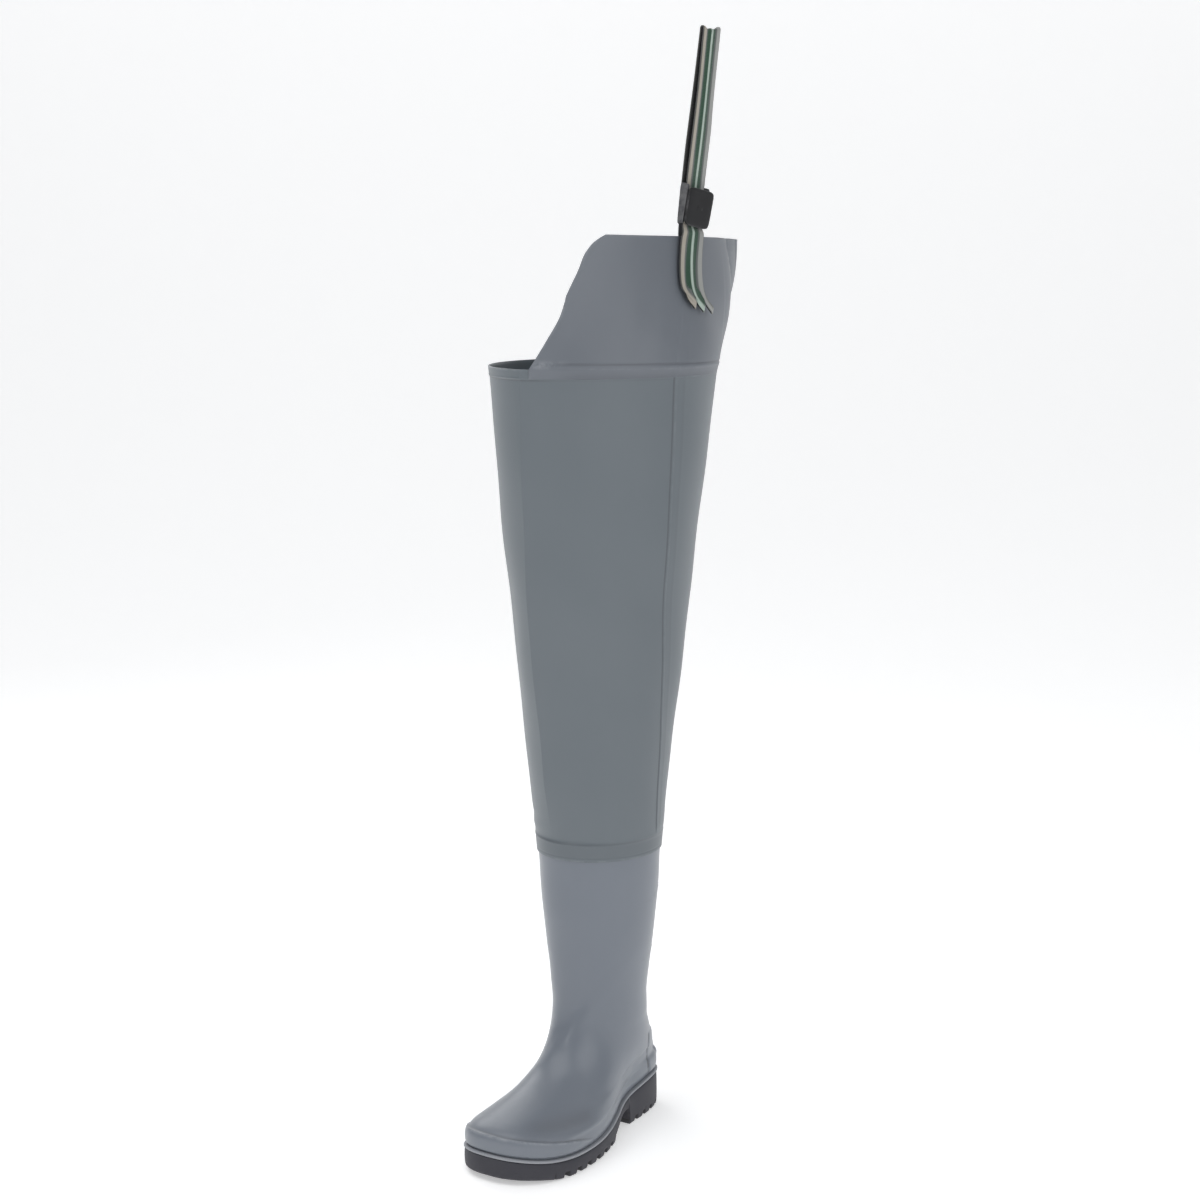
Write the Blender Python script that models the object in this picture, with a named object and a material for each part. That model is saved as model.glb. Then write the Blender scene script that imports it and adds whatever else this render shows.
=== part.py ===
"""Left hip wader: a moulded boot, a thin sheet leg, a hip flap and an elastic strap.

The toe points to -Y, the outer side of the leg to +X, and up is +Z.
The floor is z = 0 and the origin is the centre of the heel tread.
"""
import math

import bmesh
import bpy
import numpy as np

# Sole
SOLE_LENGTH = 0.304
SOLE_WIDTH = 0.118
HEEL_BACK_Y = 0.044
HEEL_HEIGHT = 0.0430
TREAD_DEPTH = 0.0050
WELT_THICKNESS = 0.0036
WELT_OVERHANG = 0.0012
BEAD_ROUND = 0.0010
LUG_WALL = 0.0015
CHANNEL_HALF = 0.006
CHANNEL_RISE = 0.0012
SIDE_TUCK = 0.0016
SIDE_FLARE = 0.0006
TOE_SPRING = 0.0110
INSOLE_THICKNESS = 0.0030
INSOLE_ROUND = 0.0012
TOE_POWER = 2.5
HEEL_POWER = 3.3

# Boot upper
BOOT_WALL = 0.0024
BOOT_TOP_Z = 0.338
SHAFT_HALF_WIDTH = 0.551 * SOLE_WIDTH
SHAFT_HALF_DEPTH = 0.242 * SOLE_LENGTH
SHAFT_Y = HEEL_BACK_Y - 0.3066 * SOLE_LENGTH
SHAFT_FLARE_SHARE = 0.08
FEATHER_INSET = 0.0030
RAND_HEIGHT = 0.0145
RAND_STEP = 0.0015
COUNTER_STEP = 0.0009
SPUR_STEP = 0.0030

# Leg sheet
LEG_WALL = 0.0012
LEG_BOTTOM_Z = BOOT_TOP_Z - 0.018
JOINT_EASE = 0.0035
COLLAR_Z = 0.852
COLLAR_HALF_WIDTH = 0.1140
COLLAR_HALF_DEPTH = 0.1385
COLLAR_Y = -0.0405
LEG_TURN_ANGLE = math.radians(8.0)
SEAM_ANGLES = (84.0, 132.0)
HEM_HEIGHT = 0.010
HEM_STEP = 0.0006
SEAM_STEP = 0.0007

# Hip flap
FLAP_TOP_Z = 0.988
FLAP_FRONT_X = 0.080
FLAP_FRONT_Y = -0.153
FLAP_BACK_X = 0.073
FLAP_BACK_Y = 0.112
FLAP_WALL = 0.0012
FLAP_SETBACK = 0.0029
FLAP_ANGLES = (12.3, 166.9)
WELD_HEIGHT = 0.0095
FLAP_BULGE = 0.004
FLAP_BACK_BULGE = 0.005

# Strap, buckle and tab
STRAP_WIDTH = 0.035
STRAP_THICKNESS = 0.0015
STRAP_TOP_Z = 1.200
STRAP_LEAN = 0.029
STRAP_SHIFT = 0.006
LOOP_TOP_GAP = 0.0044
LOOP_SWELL = 0.0022
TAIL_END_Z = 0.907
TAIL_START = 0.0022
TAIL_SWING = 0.012
TAIL_SHIFT = 0.007
BUCKLE_X = 0.0990
BUCKLE_Y = -0.018
BUCKLE_BOTTOM_Z = 0.999
BUCKLE_HEIGHT = 0.043
BUCKLE_WIDTH = 0.046
RAIL_WIDTH = 0.0042
RAIL_DEPTH = 0.0130
PLATE_BACK = 0.0035
BAR_DEPTH = 0.0015
STRAP_OFFSET = 0.0012
LEVER_DEPTH = 0.0042
LEVER_INSET = 0.0015
LEVER_DROP = 0.0020
TAB_THICKNESS = 0.0009
PATCH_THICKNESS = 0.0009
EYELET_RADIUS = 0.0053
EYELET_RISE = 0.0010
ROUND_PATCH_RADIUS = 0.029
ROUND_PATCH_SHIFT = 0.006

FIT_GAP = 0.0003
AROUND = 44

# Runs along the sole as shares of its length from the heel
BREAST_SHARE = 0.285
HEEL_LUG_SHARES = (0.066, 0.124, 0.182, 0.240)
HEEL_LUG_LENGTH_SHARE = 0.043
FORE_LUG_SHARES = (0.452, 0.514, 0.576, 0.638, 0.700, 0.762, 0.824)
FORE_LUG_LENGTH_SHARE = 0.042

# Share of the length from the heel, then the half widths as shares of the width
SOLE_OUTLINE_SHARES = (
    # run, outer, inner
    (0.00, 0.316, 0.308),
    (0.20, 0.314, 0.306),
    (0.27, 0.314, 0.296),
    (0.34, 0.339, 0.283),
    (0.42, 0.410, 0.272),
    (0.50, 0.480, 0.314),
    (0.60, 0.546, 0.394),
    (0.70, 0.588, 0.455),
    (0.80, 0.625, 0.530),
    (0.90, 0.645, 0.605),
    (1.00, 0.620, 0.660),
)

# Share of the length, height of the welt's top as a share of the heel height
WELT_LINE_SHARES = (
    # run, height
    (0.00, 1.00),
    (0.15, 0.975),
    (0.28, 0.87),
    (0.42, 0.66),
    (0.55, 0.55),
    (0.66, 0.515),
    (0.80, 0.535),
    (0.92, 0.62),
    (1.00, 0.73),
)

# Underside of the waist and toe: share of the length, then of the heel height
WAIST_SHARES = ((0.289, 0.46), (0.340, 0.42), (0.385, 0.30), (0.425, 0.19))
TOE_SHARES = ((0.905, 0.128), (0.940, 0.128), (0.965, 0.140), (0.985, 0.167))

# Foot of the upper: rise as a share of the rand height, inset of the feather
# inset, then how much of the rand's step and of the heel panel's step it takes
RAND_SHARES = (
    # rise, inset, rand, panel, panel's half turn
    (0.000, 1.00, 0.0, 0.0, 60.0),
    (0.124, 1.00, 0.0, 0.0, 60.0),
    (0.248, 0.70, 1.0, 1.0, 59.0),
    (0.620, 0.50, 1.0, 1.0, 54.0),
    (1.000, 0.55, 1.0, 1.0, 49.0),
    (1.055, 0.75, 0.0, 1.0, 48.0),
)

# Rings of the upper above the rand. Runs are shares of the sole's length from
# the heel, rises are shares of the height from the rand to the boot's top, half
# widths are shares of the sole's width, follow is the share of the sole's outline
UPPER_RING_SHARES = (
    # front run, front rise, back run, back rise, outer, inner, follow, fullness
    (0.976, 0.018, 0.007, 0.025, 0.380, 0.372, 0.96, 2.45),
    (0.939, 0.035, 0.009, 0.046, 0.380, 0.372, 0.88, 2.40),
    (0.879, 0.053, 0.014, 0.070, 0.380, 0.372, 0.76, 2.34),
    (0.801, 0.075, 0.016, 0.077, 0.380, 0.372, 0.60, 2.28),
    (0.713, 0.105, 0.028, 0.116, 0.380, 0.372, 0.42, 2.22),
    (0.633, 0.147, 0.046, 0.150, 0.377, 0.369, 0.25, 2.16),
    (0.577, 0.202, 0.062, 0.185, 0.373, 0.365, 0.11, 2.12),
    (0.541, 0.267, 0.077, 0.226, 0.373, 0.365, 0.03, 2.10),
    (0.523, 0.344, 0.086, 0.278, 0.377, 0.369, 0.00, 2.08),
    (0.518, 0.415, 0.090, 0.344, 0.390, 0.386, 0.00, 2.06),
    (0.521, 0.493, 0.088, 0.430, 0.420, 0.415, 0.00, 2.05),
    (0.528, 0.582, 0.082, 0.533, 0.458, 0.453, 0.00, 2.04),
    (0.535, 0.692, 0.075, 0.665, 0.496, 0.491, 0.00, 2.03),
    (0.542, 0.819, 0.069, 0.811, 0.530, 0.525, 0.00, 2.02),
)

# Heel panel and kick spur on the lowest of those rings
HEEL_PANEL_SHARES = (
    # spur, spur's half turn, panel's half turn
    (1.00, 20.0, 42.0),
    (0.85, 19.0, 38.0),
    (0.55, 18.0, 34.0),
)

# Leg sheet between the boot's top and the collar, from the shaft's size (0) to
# the collar's (1)
LEG_SECTION_SHARES = (
    # height, across, deep, centre, fullness
    (0.01, 0.08, 0.02, -0.03, 2.00),
    (0.06, 0.12, 0.06, -0.15, 1.99),
    (0.24, 0.29, 0.24, -0.09, 1.97),
    (0.50, 0.53, 0.50, 0.14, 1.94),
    (0.75, 0.77, 0.75, 0.54, 1.91),
    (1.00, 1.00, 1.00, 1.00, 1.88),
)
LEG_RING_SHARES = (0.027, 0.072, 0.14, 0.25, 0.37, 0.51, 0.64, 0.76, 0.88)

# Heights on the flap as shares of its height over the collar
FLAP_ROW_SHARES = (0.0, 0.03, 0.155, 0.324, 0.493, 0.662, 0.80, 0.90, 0.96, 1.0)
TAB_ROW_SHARES = (0.728, 0.816, 0.926)
ROUND_PATCH_SHARE = 0.419

# Front edge of the flap: how far it reaches forward, as a share of the flap's run
FLAP_EDGE_SHARES = (
    # rise, reach
    (0.00, 0.000),
    (0.10, 0.002),
    (0.27, 0.007),
    (0.38, 0.011),
    (0.59, 0.040),
    (0.74, 0.050),
    (0.88, 0.059),
    (0.95, 0.043),
    (1.00, 0.011),
)

# Heights on the buckle as shares of its height: bars, slots, rivet and lever
BUCKLE_ROW_SHARES = (0.0, 0.151, 0.291, 0.581, 0.802, 1.0)
EYELET_SHARE = 0.477
LEVER_SHARES = (0.581, 0.860, 0.977)
LOOP_SHARES = (0.12, 0.30, 0.50, 0.70, 0.88, 1.0)
TAIL_SHARES = (0.15, 0.35, 0.55, 0.75, 0.90, 1.0)


def clear_scene():
    """Removes every object of the file."""
    for item in list(bpy.data.objects):
        bpy.data.objects.remove(item, do_unlink=True)


def material(name, color, roughness):
    """A plain material of one colour."""
    made = bpy.data.materials.new(name)
    made.use_nodes = True
    shader = made.node_tree.nodes["Principled BSDF"]
    shader.inputs["Base Color"].default_value = (*color, 1.0)
    shader.inputs["Roughness"].default_value = roughness
    return made


def curve(rows, column, at):
    """A smooth curve through one column of a table, read at the given places."""
    table = np.array(rows, float)
    xs = table[:, 0]
    ys = table[:, column]
    slopes = np.gradient(ys, xs)
    at = np.clip(np.asarray(at, float), xs[0], xs[-1])
    k = np.clip(np.searchsorted(xs, at) - 1, 0, len(xs) - 2)
    step = xs[k + 1] - xs[k]
    f = (at - xs[k]) / step
    rise = ys[k] * (2 * f**3 - 3 * f**2 + 1) + ys[k + 1] * (3 * f**2 - 2 * f**3)
    turn = slopes[k] * (f**3 - 2 * f**2 + f) + slopes[k + 1] * (f**3 - f**2)
    return rise + turn * step


def smooth_step(value, low, high):
    """Rises from 0 at the low end to 1 at the high end."""
    f = np.clip((np.asarray(value, float) - low) / (high - low), 0.0, 1.0)
    return f * f * (3 - 2 * f)


def turns(count):
    """Equal turns round a section, from the front over the outer side."""
    return np.arange(count) * 2 * math.pi / count


def fullness_terms(angle, toe_power, heel_power):
    """Run along a section (1 front, -1 back) and its fullness across."""
    c = np.cos(angle)
    s = np.sin(angle)
    power = np.where(c > 0, toe_power, heel_power)
    along = np.sign(c) * np.abs(c) ** (2 / power)
    across = np.abs(s) ** (2 / power)
    return along, across


def foot_half(share, outer):
    """Half width of the sole, before its ends round off."""
    wide = curve(SOLE_OUTLINE_SHARES, 1, share)
    narrow = curve(SOLE_OUTLINE_SHARES, 2, share)
    return np.where(outer, wide, narrow) * SOLE_WIDTH


def welt_top(share):
    """Height of the welt's top at a share of the length from the heel."""
    return curve(WELT_LINE_SHARES, 1, share) * HEEL_HEIGHT


def sole_loop(angle):
    """Plan points of the sole's outline and their shares from the heel."""
    along, across = fullness_terms(angle, TOE_POWER, HEEL_POWER)
    share = (1 + along) / 2
    outer = np.sin(angle) >= 0
    half = foot_half(share, outer) * across
    x = np.where(outer, half, -half)
    y = HEEL_BACK_Y - share * SOLE_LENGTH
    return np.stack([x, y], axis=1), share


def plan_normals(loop):
    """Outward normals of a closed plan loop."""
    tangent = np.roll(loop, -1, axis=0) - np.roll(loop, 1, axis=0)
    normal = np.stack([-tangent[:, 1], tangent[:, 0]], axis=1)
    normal /= np.linalg.norm(normal, axis=1)[:, None]
    facing = np.sum(normal * (loop - loop.mean(axis=0)), axis=1)
    return normal * np.sign(np.sum(facing))


def grown(loop, amount):
    """A plan loop moved outward by an amount, one value or one per point."""
    amount = np.broadcast_to(amount, len(loop))
    return loop + plan_normals(loop) * amount[:, None]


def raised(loop, height):
    """A plan loop lifted to a height, one value or one per point."""
    height = np.broadcast_to(height, len(loop))
    return np.column_stack([loop, height])


def grid_normals(rings):
    """Outward unit normals of a stack of closed rings."""
    around = np.roll(rings, -1, axis=1) - np.roll(rings, 1, axis=1)
    up = np.gradient(rings, axis=0)
    normal = np.cross(around, up)
    normal /= np.linalg.norm(normal, axis=2)[:, :, None]
    facing = np.sum(normal * (rings - rings.mean(axis=1)[:, None]))
    return normal * np.sign(facing)


def add_solid(name, points, faces, look, smooth=True):
    """One closed body from points and faces, its faces turned outward."""
    mesh = bpy.data.meshes.new(name)
    mesh.from_pydata([tuple(p) for p in points], [], faces)
    work = bmesh.new()
    work.from_mesh(mesh)
    bmesh.ops.recalc_face_normals(work, faces=work.faces)
    work.to_mesh(mesh)
    work.free()
    for face in mesh.polygons:
        face.use_smooth = smooth
    mesh.materials.append(look)
    made = bpy.data.objects.new(name, mesh)
    bpy.context.scene.collection.objects.link(made)
    return made


def band_faces(rows, count, wrap_rows, wrap_count):
    """Four-sided faces over a grid of points, closed either way on request."""
    faces = []
    for r in range(rows if wrap_rows else rows - 1):
        for c in range(count if wrap_count else count - 1):
            here = r * count
            above = ((r + 1) % rows) * count
            side = (c + 1) % count
            faces.append((here + c, here + side, above + side, above + c))
    return faces


def add_shell(name, rings, look):
    """A hollow body: its rings run up the outside and back down the inside."""
    rings = np.asarray(rings)
    rows, count = rings.shape[:2]
    return add_solid(name, rings.reshape(-1, 3), band_faces(rows, count, True, True), look)


def add_slab(name, rings, look, smooth=True):
    """A full body from stacked rings, closed across at both ends."""
    rings = np.asarray(rings)
    rows, count = rings.shape[:2]
    faces = band_faces(rows, count, False, True)
    for base in (0, (rows - 1) * count):
        faces.append((base, base + 1, base + count - 1))
        half = count // 2
        for k in range(1, half - 1):
            faces.append((base + k, base + k + 1, base + count - k - 1, base + count - k))
        faces.append((base + half - 1, base + half, base + half + 1))
    return add_solid(name, rings.reshape(-1, 3), faces, look, smooth)


def add_sheet(name, outside, inside, look, smooth=True):
    """A thin body between two matching open grids of points."""
    rows, count = outside.shape[:2]
    size = rows * count
    points = np.concatenate([outside.reshape(-1, 3), inside.reshape(-1, 3)])
    faces = band_faces(rows, count, False, False)
    faces += [tuple(size + k for k in face) for face in faces]
    edge = [(0, c) for c in range(count)]
    edge += [(r, count - 1) for r in range(1, rows)]
    edge += [(rows - 1, c) for c in range(count - 2, -1, -1)]
    edge += [(r, 0) for r in range(rows - 2, 0, -1)]
    order = [r * count + c for r, c in edge]
    for k, here in enumerate(order):
        after = order[(k + 1) % len(order)]
        faces.append((here, after, size + after, size + here))
    return add_solid(name, points, faces, look, smooth)


def add_cells(name, xs, ys, zs, filled, look, rounding):
    """A body made of the filled boxes of a three-way grid, edges rounded."""
    index = {}
    points = []

    def corner(i, j, k):
        key = (i, j, k)
        if key not in index:
            index[key] = len(points)
            points.append((xs[i], ys[j], zs[k]))
        return index[key]

    faces = []
    sides = (
        ((-1, 0, 0), ((0, 0, 0), (0, 0, 1), (0, 1, 1), (0, 1, 0))),
        ((1, 0, 0), ((1, 0, 0), (1, 1, 0), (1, 1, 1), (1, 0, 1))),
        ((0, -1, 0), ((0, 0, 0), (1, 0, 0), (1, 0, 1), (0, 0, 1))),
        ((0, 1, 0), ((0, 1, 0), (0, 1, 1), (1, 1, 1), (1, 1, 0))),
        ((0, 0, -1), ((0, 0, 0), (0, 1, 0), (1, 1, 0), (1, 0, 0))),
        ((0, 0, 1), ((0, 0, 1), (1, 0, 1), (1, 1, 1), (0, 1, 1))),
    )
    for i, j, k in filled:
        for (di, dj, dk), corners in sides:
            if (i + di, j + dj, k + dk) not in filled:
                faces.append(tuple(corner(i + a, j + b, k + c) for a, b, c in corners))
    made = add_solid(name, points, faces, look, smooth=False)
    bevel = made.modifiers.new("rounding", "BEVEL")
    bevel.width = rounding
    bevel.segments = 2
    bevel.limit_method = "ANGLE"
    return made


def tread_stations():
    """Shares along the sole with the height of its underside at each."""
    wall = LUG_WALL / SOLE_LENGTH
    stations = [(0.0025, TREAD_DEPTH * 0.6), (0.008, 0.0), (0.024, 0.0), (0.048, 0.0)]
    stations.append((0.053, TREAD_DEPTH))
    lugs = [(start, start + HEEL_LUG_LENGTH_SHARE) for start in HEEL_LUG_SHARES]
    fore = [(start, start + FORE_LUG_LENGTH_SHARE) for start in FORE_LUG_SHARES]
    waist = [(share, high * HEEL_HEIGHT) for share, high in WAIST_SHARES]
    toe = [(share, high * HEEL_HEIGHT) for share, high in TOE_SHARES]
    for start, end in lugs:
        stations.append((start, TREAD_DEPTH))
        stations += [(start + wall, 0.0), (end - wall, 0.0), (end, TREAD_DEPTH)]
    stations[-1] = (BREAST_SHARE - 0.001, TREAD_DEPTH * 0.3)
    stations += waist
    for start, end in fore:
        stations.append((start, TREAD_DEPTH))
        stations += [(start + wall, 0.0), (end - wall, 0.0), (end, TREAD_DEPTH)]
    stations += toe
    stations.append((0.9955, TOE_SPRING))
    return stations


def add_outsole(look):
    """The tread body: cross sections from the heel to the toe."""
    sections = []
    for share, under in tread_stations():
        spring = TOE_SPRING * smooth_step(share, 0.80, 1.0)
        low = under if share > 0.90 else under + spring * 0.35
        power = TOE_POWER if share > 0.5 else HEEL_POWER
        end = (1 - abs(2 * share - 1) ** power) ** (1 / power)
        outer = float(foot_half(share, True)) * end
        inner = float(foot_half(share, False)) * end
        y = HEEL_BACK_Y - share * SOLE_LENGTH
        top = float(welt_top(share)) - WELT_THICKNESS - FIT_GAP
        middle = low + (top - low) * 0.45
        channel = CHANNEL_HALF * end
        roof = low if share < BREAST_SHARE else max(low, TREAD_DEPTH) + CHANNEL_RISE
        tuck = SIDE_TUCK * end
        flare = SIDE_FLARE * end
        sections.append([
            (outer - tuck * 0.4, y, top),
            (outer + flare, y, middle),
            (outer - tuck, y, low),
            (channel, y, low),
            (channel * 0.7, y, roof),
            (-channel * 0.7, y, roof),
            (-channel, y, low),
            (-inner + tuck, y, low),
            (-inner - flare, y, middle),
            (-inner + tuck * 0.4, y, top),
        ])
    rings = np.array(sections)
    rows, count = rings.shape[:2]
    faces = band_faces(rows, count, False, True)
    cap = ((0, 1, 8, 9), (1, 2, 3), (1, 3, 4), (1, 4, 5, 8), (5, 6, 8), (6, 7, 8))
    for base in (0, (rows - 1) * count):
        faces += [tuple(base + k for k in face) for face in cap]
    return add_solid("outsole", rings.reshape(-1, 3), faces, look, smooth=False)


def add_welt(look):
    """The rounded bead and plate between the sole and the upper."""
    loop, share = sole_loop(turns(AROUND))
    top = welt_top(share)
    rings = []
    for inset, drop in ((BEAD_ROUND, 1.0), (0.0, 0.72), (0.0, 0.30), (BEAD_ROUND, 0.0)):
        rings.append(raised(grown(loop, WELT_OVERHANG - inset), top - WELT_THICKNESS * drop))
    return add_slab("welt", rings, look)


def add_insole(look):
    """The flat insole that lies on the welt inside the upper."""
    loop, share = sole_loop(turns(AROUND))
    inset = FEATHER_INSET + BOOT_WALL + 2 * FIT_GAP
    low = welt_top(share) + FIT_GAP
    rings = []
    for extra, rise in ((0.0, 0.0), (0.0, 0.73), (INSOLE_ROUND, 1.0)):
        rings.append(raised(grown(loop, -inset - extra), low + rise * INSOLE_THICKNESS))
    return add_slab("insole", rings, look)


def back_mask(angle, reach):
    """One at the middle of the back, none beyond the reach in degrees."""
    off = np.abs(np.degrees(angle) - 180.0)
    return 1 - smooth_step(off, reach * 0.55, reach)


def upper_rings():
    """Outer rings of the boot upper from the feather line to its top."""
    angle = turns(AROUND)
    loop, share = sole_loop(angle)
    base = welt_top(share) + FIT_GAP
    rand = RAND_STEP * smooth_step(share, 0.60, 0.80)
    rings = []
    for rise, inset, rand_share, panel_share, reach in RAND_SHARES:
        panel = COUNTER_STEP * back_mask(angle, reach) * panel_share
        out = rand * rand_share + panel - FEATHER_INSET * inset
        rings.append(raised(grown(loop, out), base + RAND_HEIGHT * rise))
    front_base = float(welt_top(1.0)) + RAND_HEIGHT
    back_base = float(welt_top(0.0)) + RAND_HEIGHT
    for row, values in enumerate(UPPER_RING_SHARES):
        front_run, front_rise, back_run, back_rise, outer, inner, follow, power = values
        along, across = fullness_terms(angle, power, power)
        forward = (1 + along) / 2
        ring_share = back_run + (front_run - back_run) * forward
        y = HEEL_BACK_Y - ring_share * SOLE_LENGTH
        side = np.sin(angle) >= 0
        own = np.where(side, outer, inner) * SOLE_WIDTH
        half = (follow * foot_half(ring_share, side) + (1 - follow) * own) * across
        chord = welt_top(0.0) + (welt_top(1.0) - welt_top(0.0)) * forward
        dip = follow * (welt_top(forward) - chord)
        front_z = front_base + front_rise * (BOOT_TOP_Z - front_base)
        back_z = back_base + back_rise * (BOOT_TOP_Z - back_base)
        z = back_z + (front_z - back_z) * forward + dip
        ring = np.column_stack([np.where(side, half, -half), y, z])
        if row < len(HEEL_PANEL_SHARES):
            spur_share, spur_reach, panel_reach = HEEL_PANEL_SHARES[row]
            spur = SPUR_STEP * spur_share * back_mask(angle, spur_reach)
            panel = COUNTER_STEP * back_mask(angle, panel_reach)
            ring[:, :2] = grown(ring[:, :2], spur + panel)
        rings.append(ring)
    for z in (LEG_BOTTOM_Z, BOOT_TOP_Z):
        rings.append(shaft_ring(z))
    return np.array(rings)


def shaft_ring(z):
    """Level ring of the boot shaft near its top."""
    along, across = fullness_terms(turns(AROUND), 2.0, 2.0)
    widen = (z - LEG_BOTTOM_Z) * SHAFT_FLARE_SHARE
    half = (SHAFT_HALF_WIDTH + widen) * across * np.sign(np.sin(turns(AROUND)))
    y = SHAFT_Y - (SHAFT_HALF_DEPTH + widen) * along
    return np.column_stack([half, y, np.full(AROUND, z)])


def add_boot_upper(look):
    """The moulded boot: a hollow wall open at the top and underneath."""
    outside = upper_rings()
    inside = outside - grid_normals(outside) * BOOT_WALL
    inside[0, :, 2] = outside[0, :, 2]
    inside[-1, :, 2] = outside[-1, :, 2]
    return add_shell("boot_upper", np.concatenate([outside, inside[::-1]]), look)


def leg_height(share):
    """Height at a share of the leg between the boot's top and the collar."""
    return BOOT_TOP_Z + share * (COLLAR_Z - BOOT_TOP_Z)


def between(low, high, column, share):
    """A size between the shaft's and the collar's, by one column of the table."""
    return low + (high - low) * float(curve(LEG_SECTION_SHARES, column, share))


def leg_ring(share, grow):
    """Ring of the leg sheet at a share of its height, moved outward."""
    angle = turns(AROUND)
    power = float(curve(LEG_SECTION_SHARES, 4, share))
    along, across = fullness_terms(angle, power, power)
    wide = between(SHAFT_HALF_WIDTH, COLLAR_HALF_WIDTH, 1, share)
    deep = between(SHAFT_HALF_DEPTH, COLLAR_HALF_DEPTH, 2, share)
    x = wide * across * np.sign(np.sin(angle))
    y = -deep * along
    turn = -LEG_TURN_ANGLE * float(smooth_step(share, 0.0, 0.55))
    plan = np.column_stack([
        x * math.cos(turn) - y * math.sin(turn),
        x * math.sin(turn) + y * math.cos(turn) + between(SHAFT_Y, COLLAR_Y, 3, share),
    ])
    return raised(grown(plan, grow), leg_height(share))


def leg_rings():
    """Outer rings of the leg sheet with its joint, side seam and hem."""
    angle = np.degrees(turns(AROUND))
    seam = SEAM_STEP * ((angle > SEAM_ANGLES[0]) & (angle < SEAM_ANGLES[1]))
    span = COLLAR_Z - BOOT_TOP_Z
    rings = []
    for z in (LEG_BOTTOM_Z, BOOT_TOP_Z):
        rings.append(raised(grown(shaft_ring(z)[:, :2], FIT_GAP + LEG_WALL), z))
    for share in (JOINT_EASE / span, *LEG_RING_SHARES):
        rings.append(leg_ring(share, seam * float(smooth_step(share, 0.0, 0.12))))
    hem = 1 - HEM_HEIGHT / span
    rings.append(leg_ring(hem - 2 * HEM_STEP / span, seam))
    rings.append(leg_ring(hem, seam + HEM_STEP))
    rings.append(leg_ring(1.0, seam + HEM_STEP))
    return np.array(rings)


def add_leg(look):
    """The thin leg sheet, welded over the boot's top and open at the collar."""
    outside = leg_rings()
    inside = outside - grid_normals(outside) * LEG_WALL
    inside[:2] = outside[:2]
    inside[:2, :, :2] = np.array([grown(ring[:, :2], -LEG_WALL) for ring in outside[:2]])
    inside[-1, :, 2] = outside[-1, :, 2]
    return add_shell("leg", np.concatenate([outside, inside[::-1]]), look)


def ring_at(ring, places):
    """Points on the straight sides of a ring at places counted in points."""
    low = np.floor(places).astype(int) % len(ring)
    f = (places - np.floor(places))[:, None]
    return ring[low] * (1 - f) + ring[(low + 1) % len(ring)] * f


def flap_places():
    """Places round the collar that the flap covers, front to back."""
    first, last = (turn / 360 * AROUND for turn in FLAP_ANGLES)
    return np.concatenate([[first], np.arange(math.ceil(first), last - 0.3), [last]])


def flap_surface(places, z, offset):
    """Points of the flap's middle surface at one height, moved outward."""
    seam_out = FIT_GAP + FLAP_WALL / 2 + offset
    rise = max(0.0, (z - COLLAR_Z) / (FLAP_TOP_Z - COLLAR_Z))
    first, last = flap_places()[[0, -1]]
    u = (places - first) / (last - first)
    u = u - float(curve(FLAP_EDGE_SHARES, 1, rise)) * (1 - u) ** 2
    places = first + (last - first) * u
    rim = ring_at(leg_rings()[-1], places)
    rim[:, :2] += outward(rim) * seam_out
    if z <= COLLAR_Z:
        rim_low = ring_at(leg_rings()[-2], places)
        rim_low[:, :2] += outward(rim_low) * seam_out
        f = (z - rim_low[0, 2]) / (rim[0, 2] - rim_low[0, 2])
        return rim_low * (1 - f) + rim * f
    top_y = FLAP_FRONT_Y + (FLAP_BACK_Y - FLAP_FRONT_Y) * u
    places_y = (FLAP_FRONT_Y, BUCKLE_Y, FLAP_BACK_Y)
    bow = np.polyfit(places_y, (FLAP_FRONT_X, BUCKLE_X - FLAP_SETBACK, FLAP_BACK_X), 2)
    top_x = np.polyval(bow, top_y)
    top = np.column_stack([top_x + offset, top_y, np.full(len(u), z)])
    made = rim * (1 - rise) + top * rise
    belly = 4 * rise * (1 - rise)
    back = FLAP_BACK_BULGE * smooth_step(u, 0.62, 0.92)
    made[:, 0] += belly * (FLAP_BULGE + 0.8 * back)
    made[:, 1] += belly * 0.6 * back
    made[:, 2] = z
    return made


def outward(points):
    """Outward plan directions of an open row of points on the outer side."""
    tangent = np.gradient(points[:, :2], axis=0)
    normal = np.column_stack([-tangent[:, 1], tangent[:, 0]])
    normal /= np.linalg.norm(normal, axis=1)[:, None]
    return normal * np.sign(np.sum(normal[:, 0]))


def flap_grid(offset):
    """Rows of the flap from the weld to its top edge."""
    places = flap_places()
    heights = [COLLAR_Z - WELD_HEIGHT, *(flap_height(share) for share in FLAP_ROW_SHARES)]
    return np.array([flap_surface(places, z, offset) for z in heights])


def flap_height(share):
    """Height at a share of the flap between the collar and its top."""
    return COLLAR_Z + share * (FLAP_TOP_Z - COLLAR_Z)


def add_flap(look):
    """The hip flap, welded outside the collar over its outer half."""
    half = FLAP_WALL / 2
    return add_sheet("hip_flap", flap_grid(half), flap_grid(-half), look)


def flap_point_at(y, z, offset):
    """The flap's surface point at a given run y and height z."""
    places = flap_places()
    row = flap_surface(places, z, offset)
    order = np.argsort(row[:, 1])
    x = np.interp(y, row[order, 1], row[order, 0])
    return x


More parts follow.
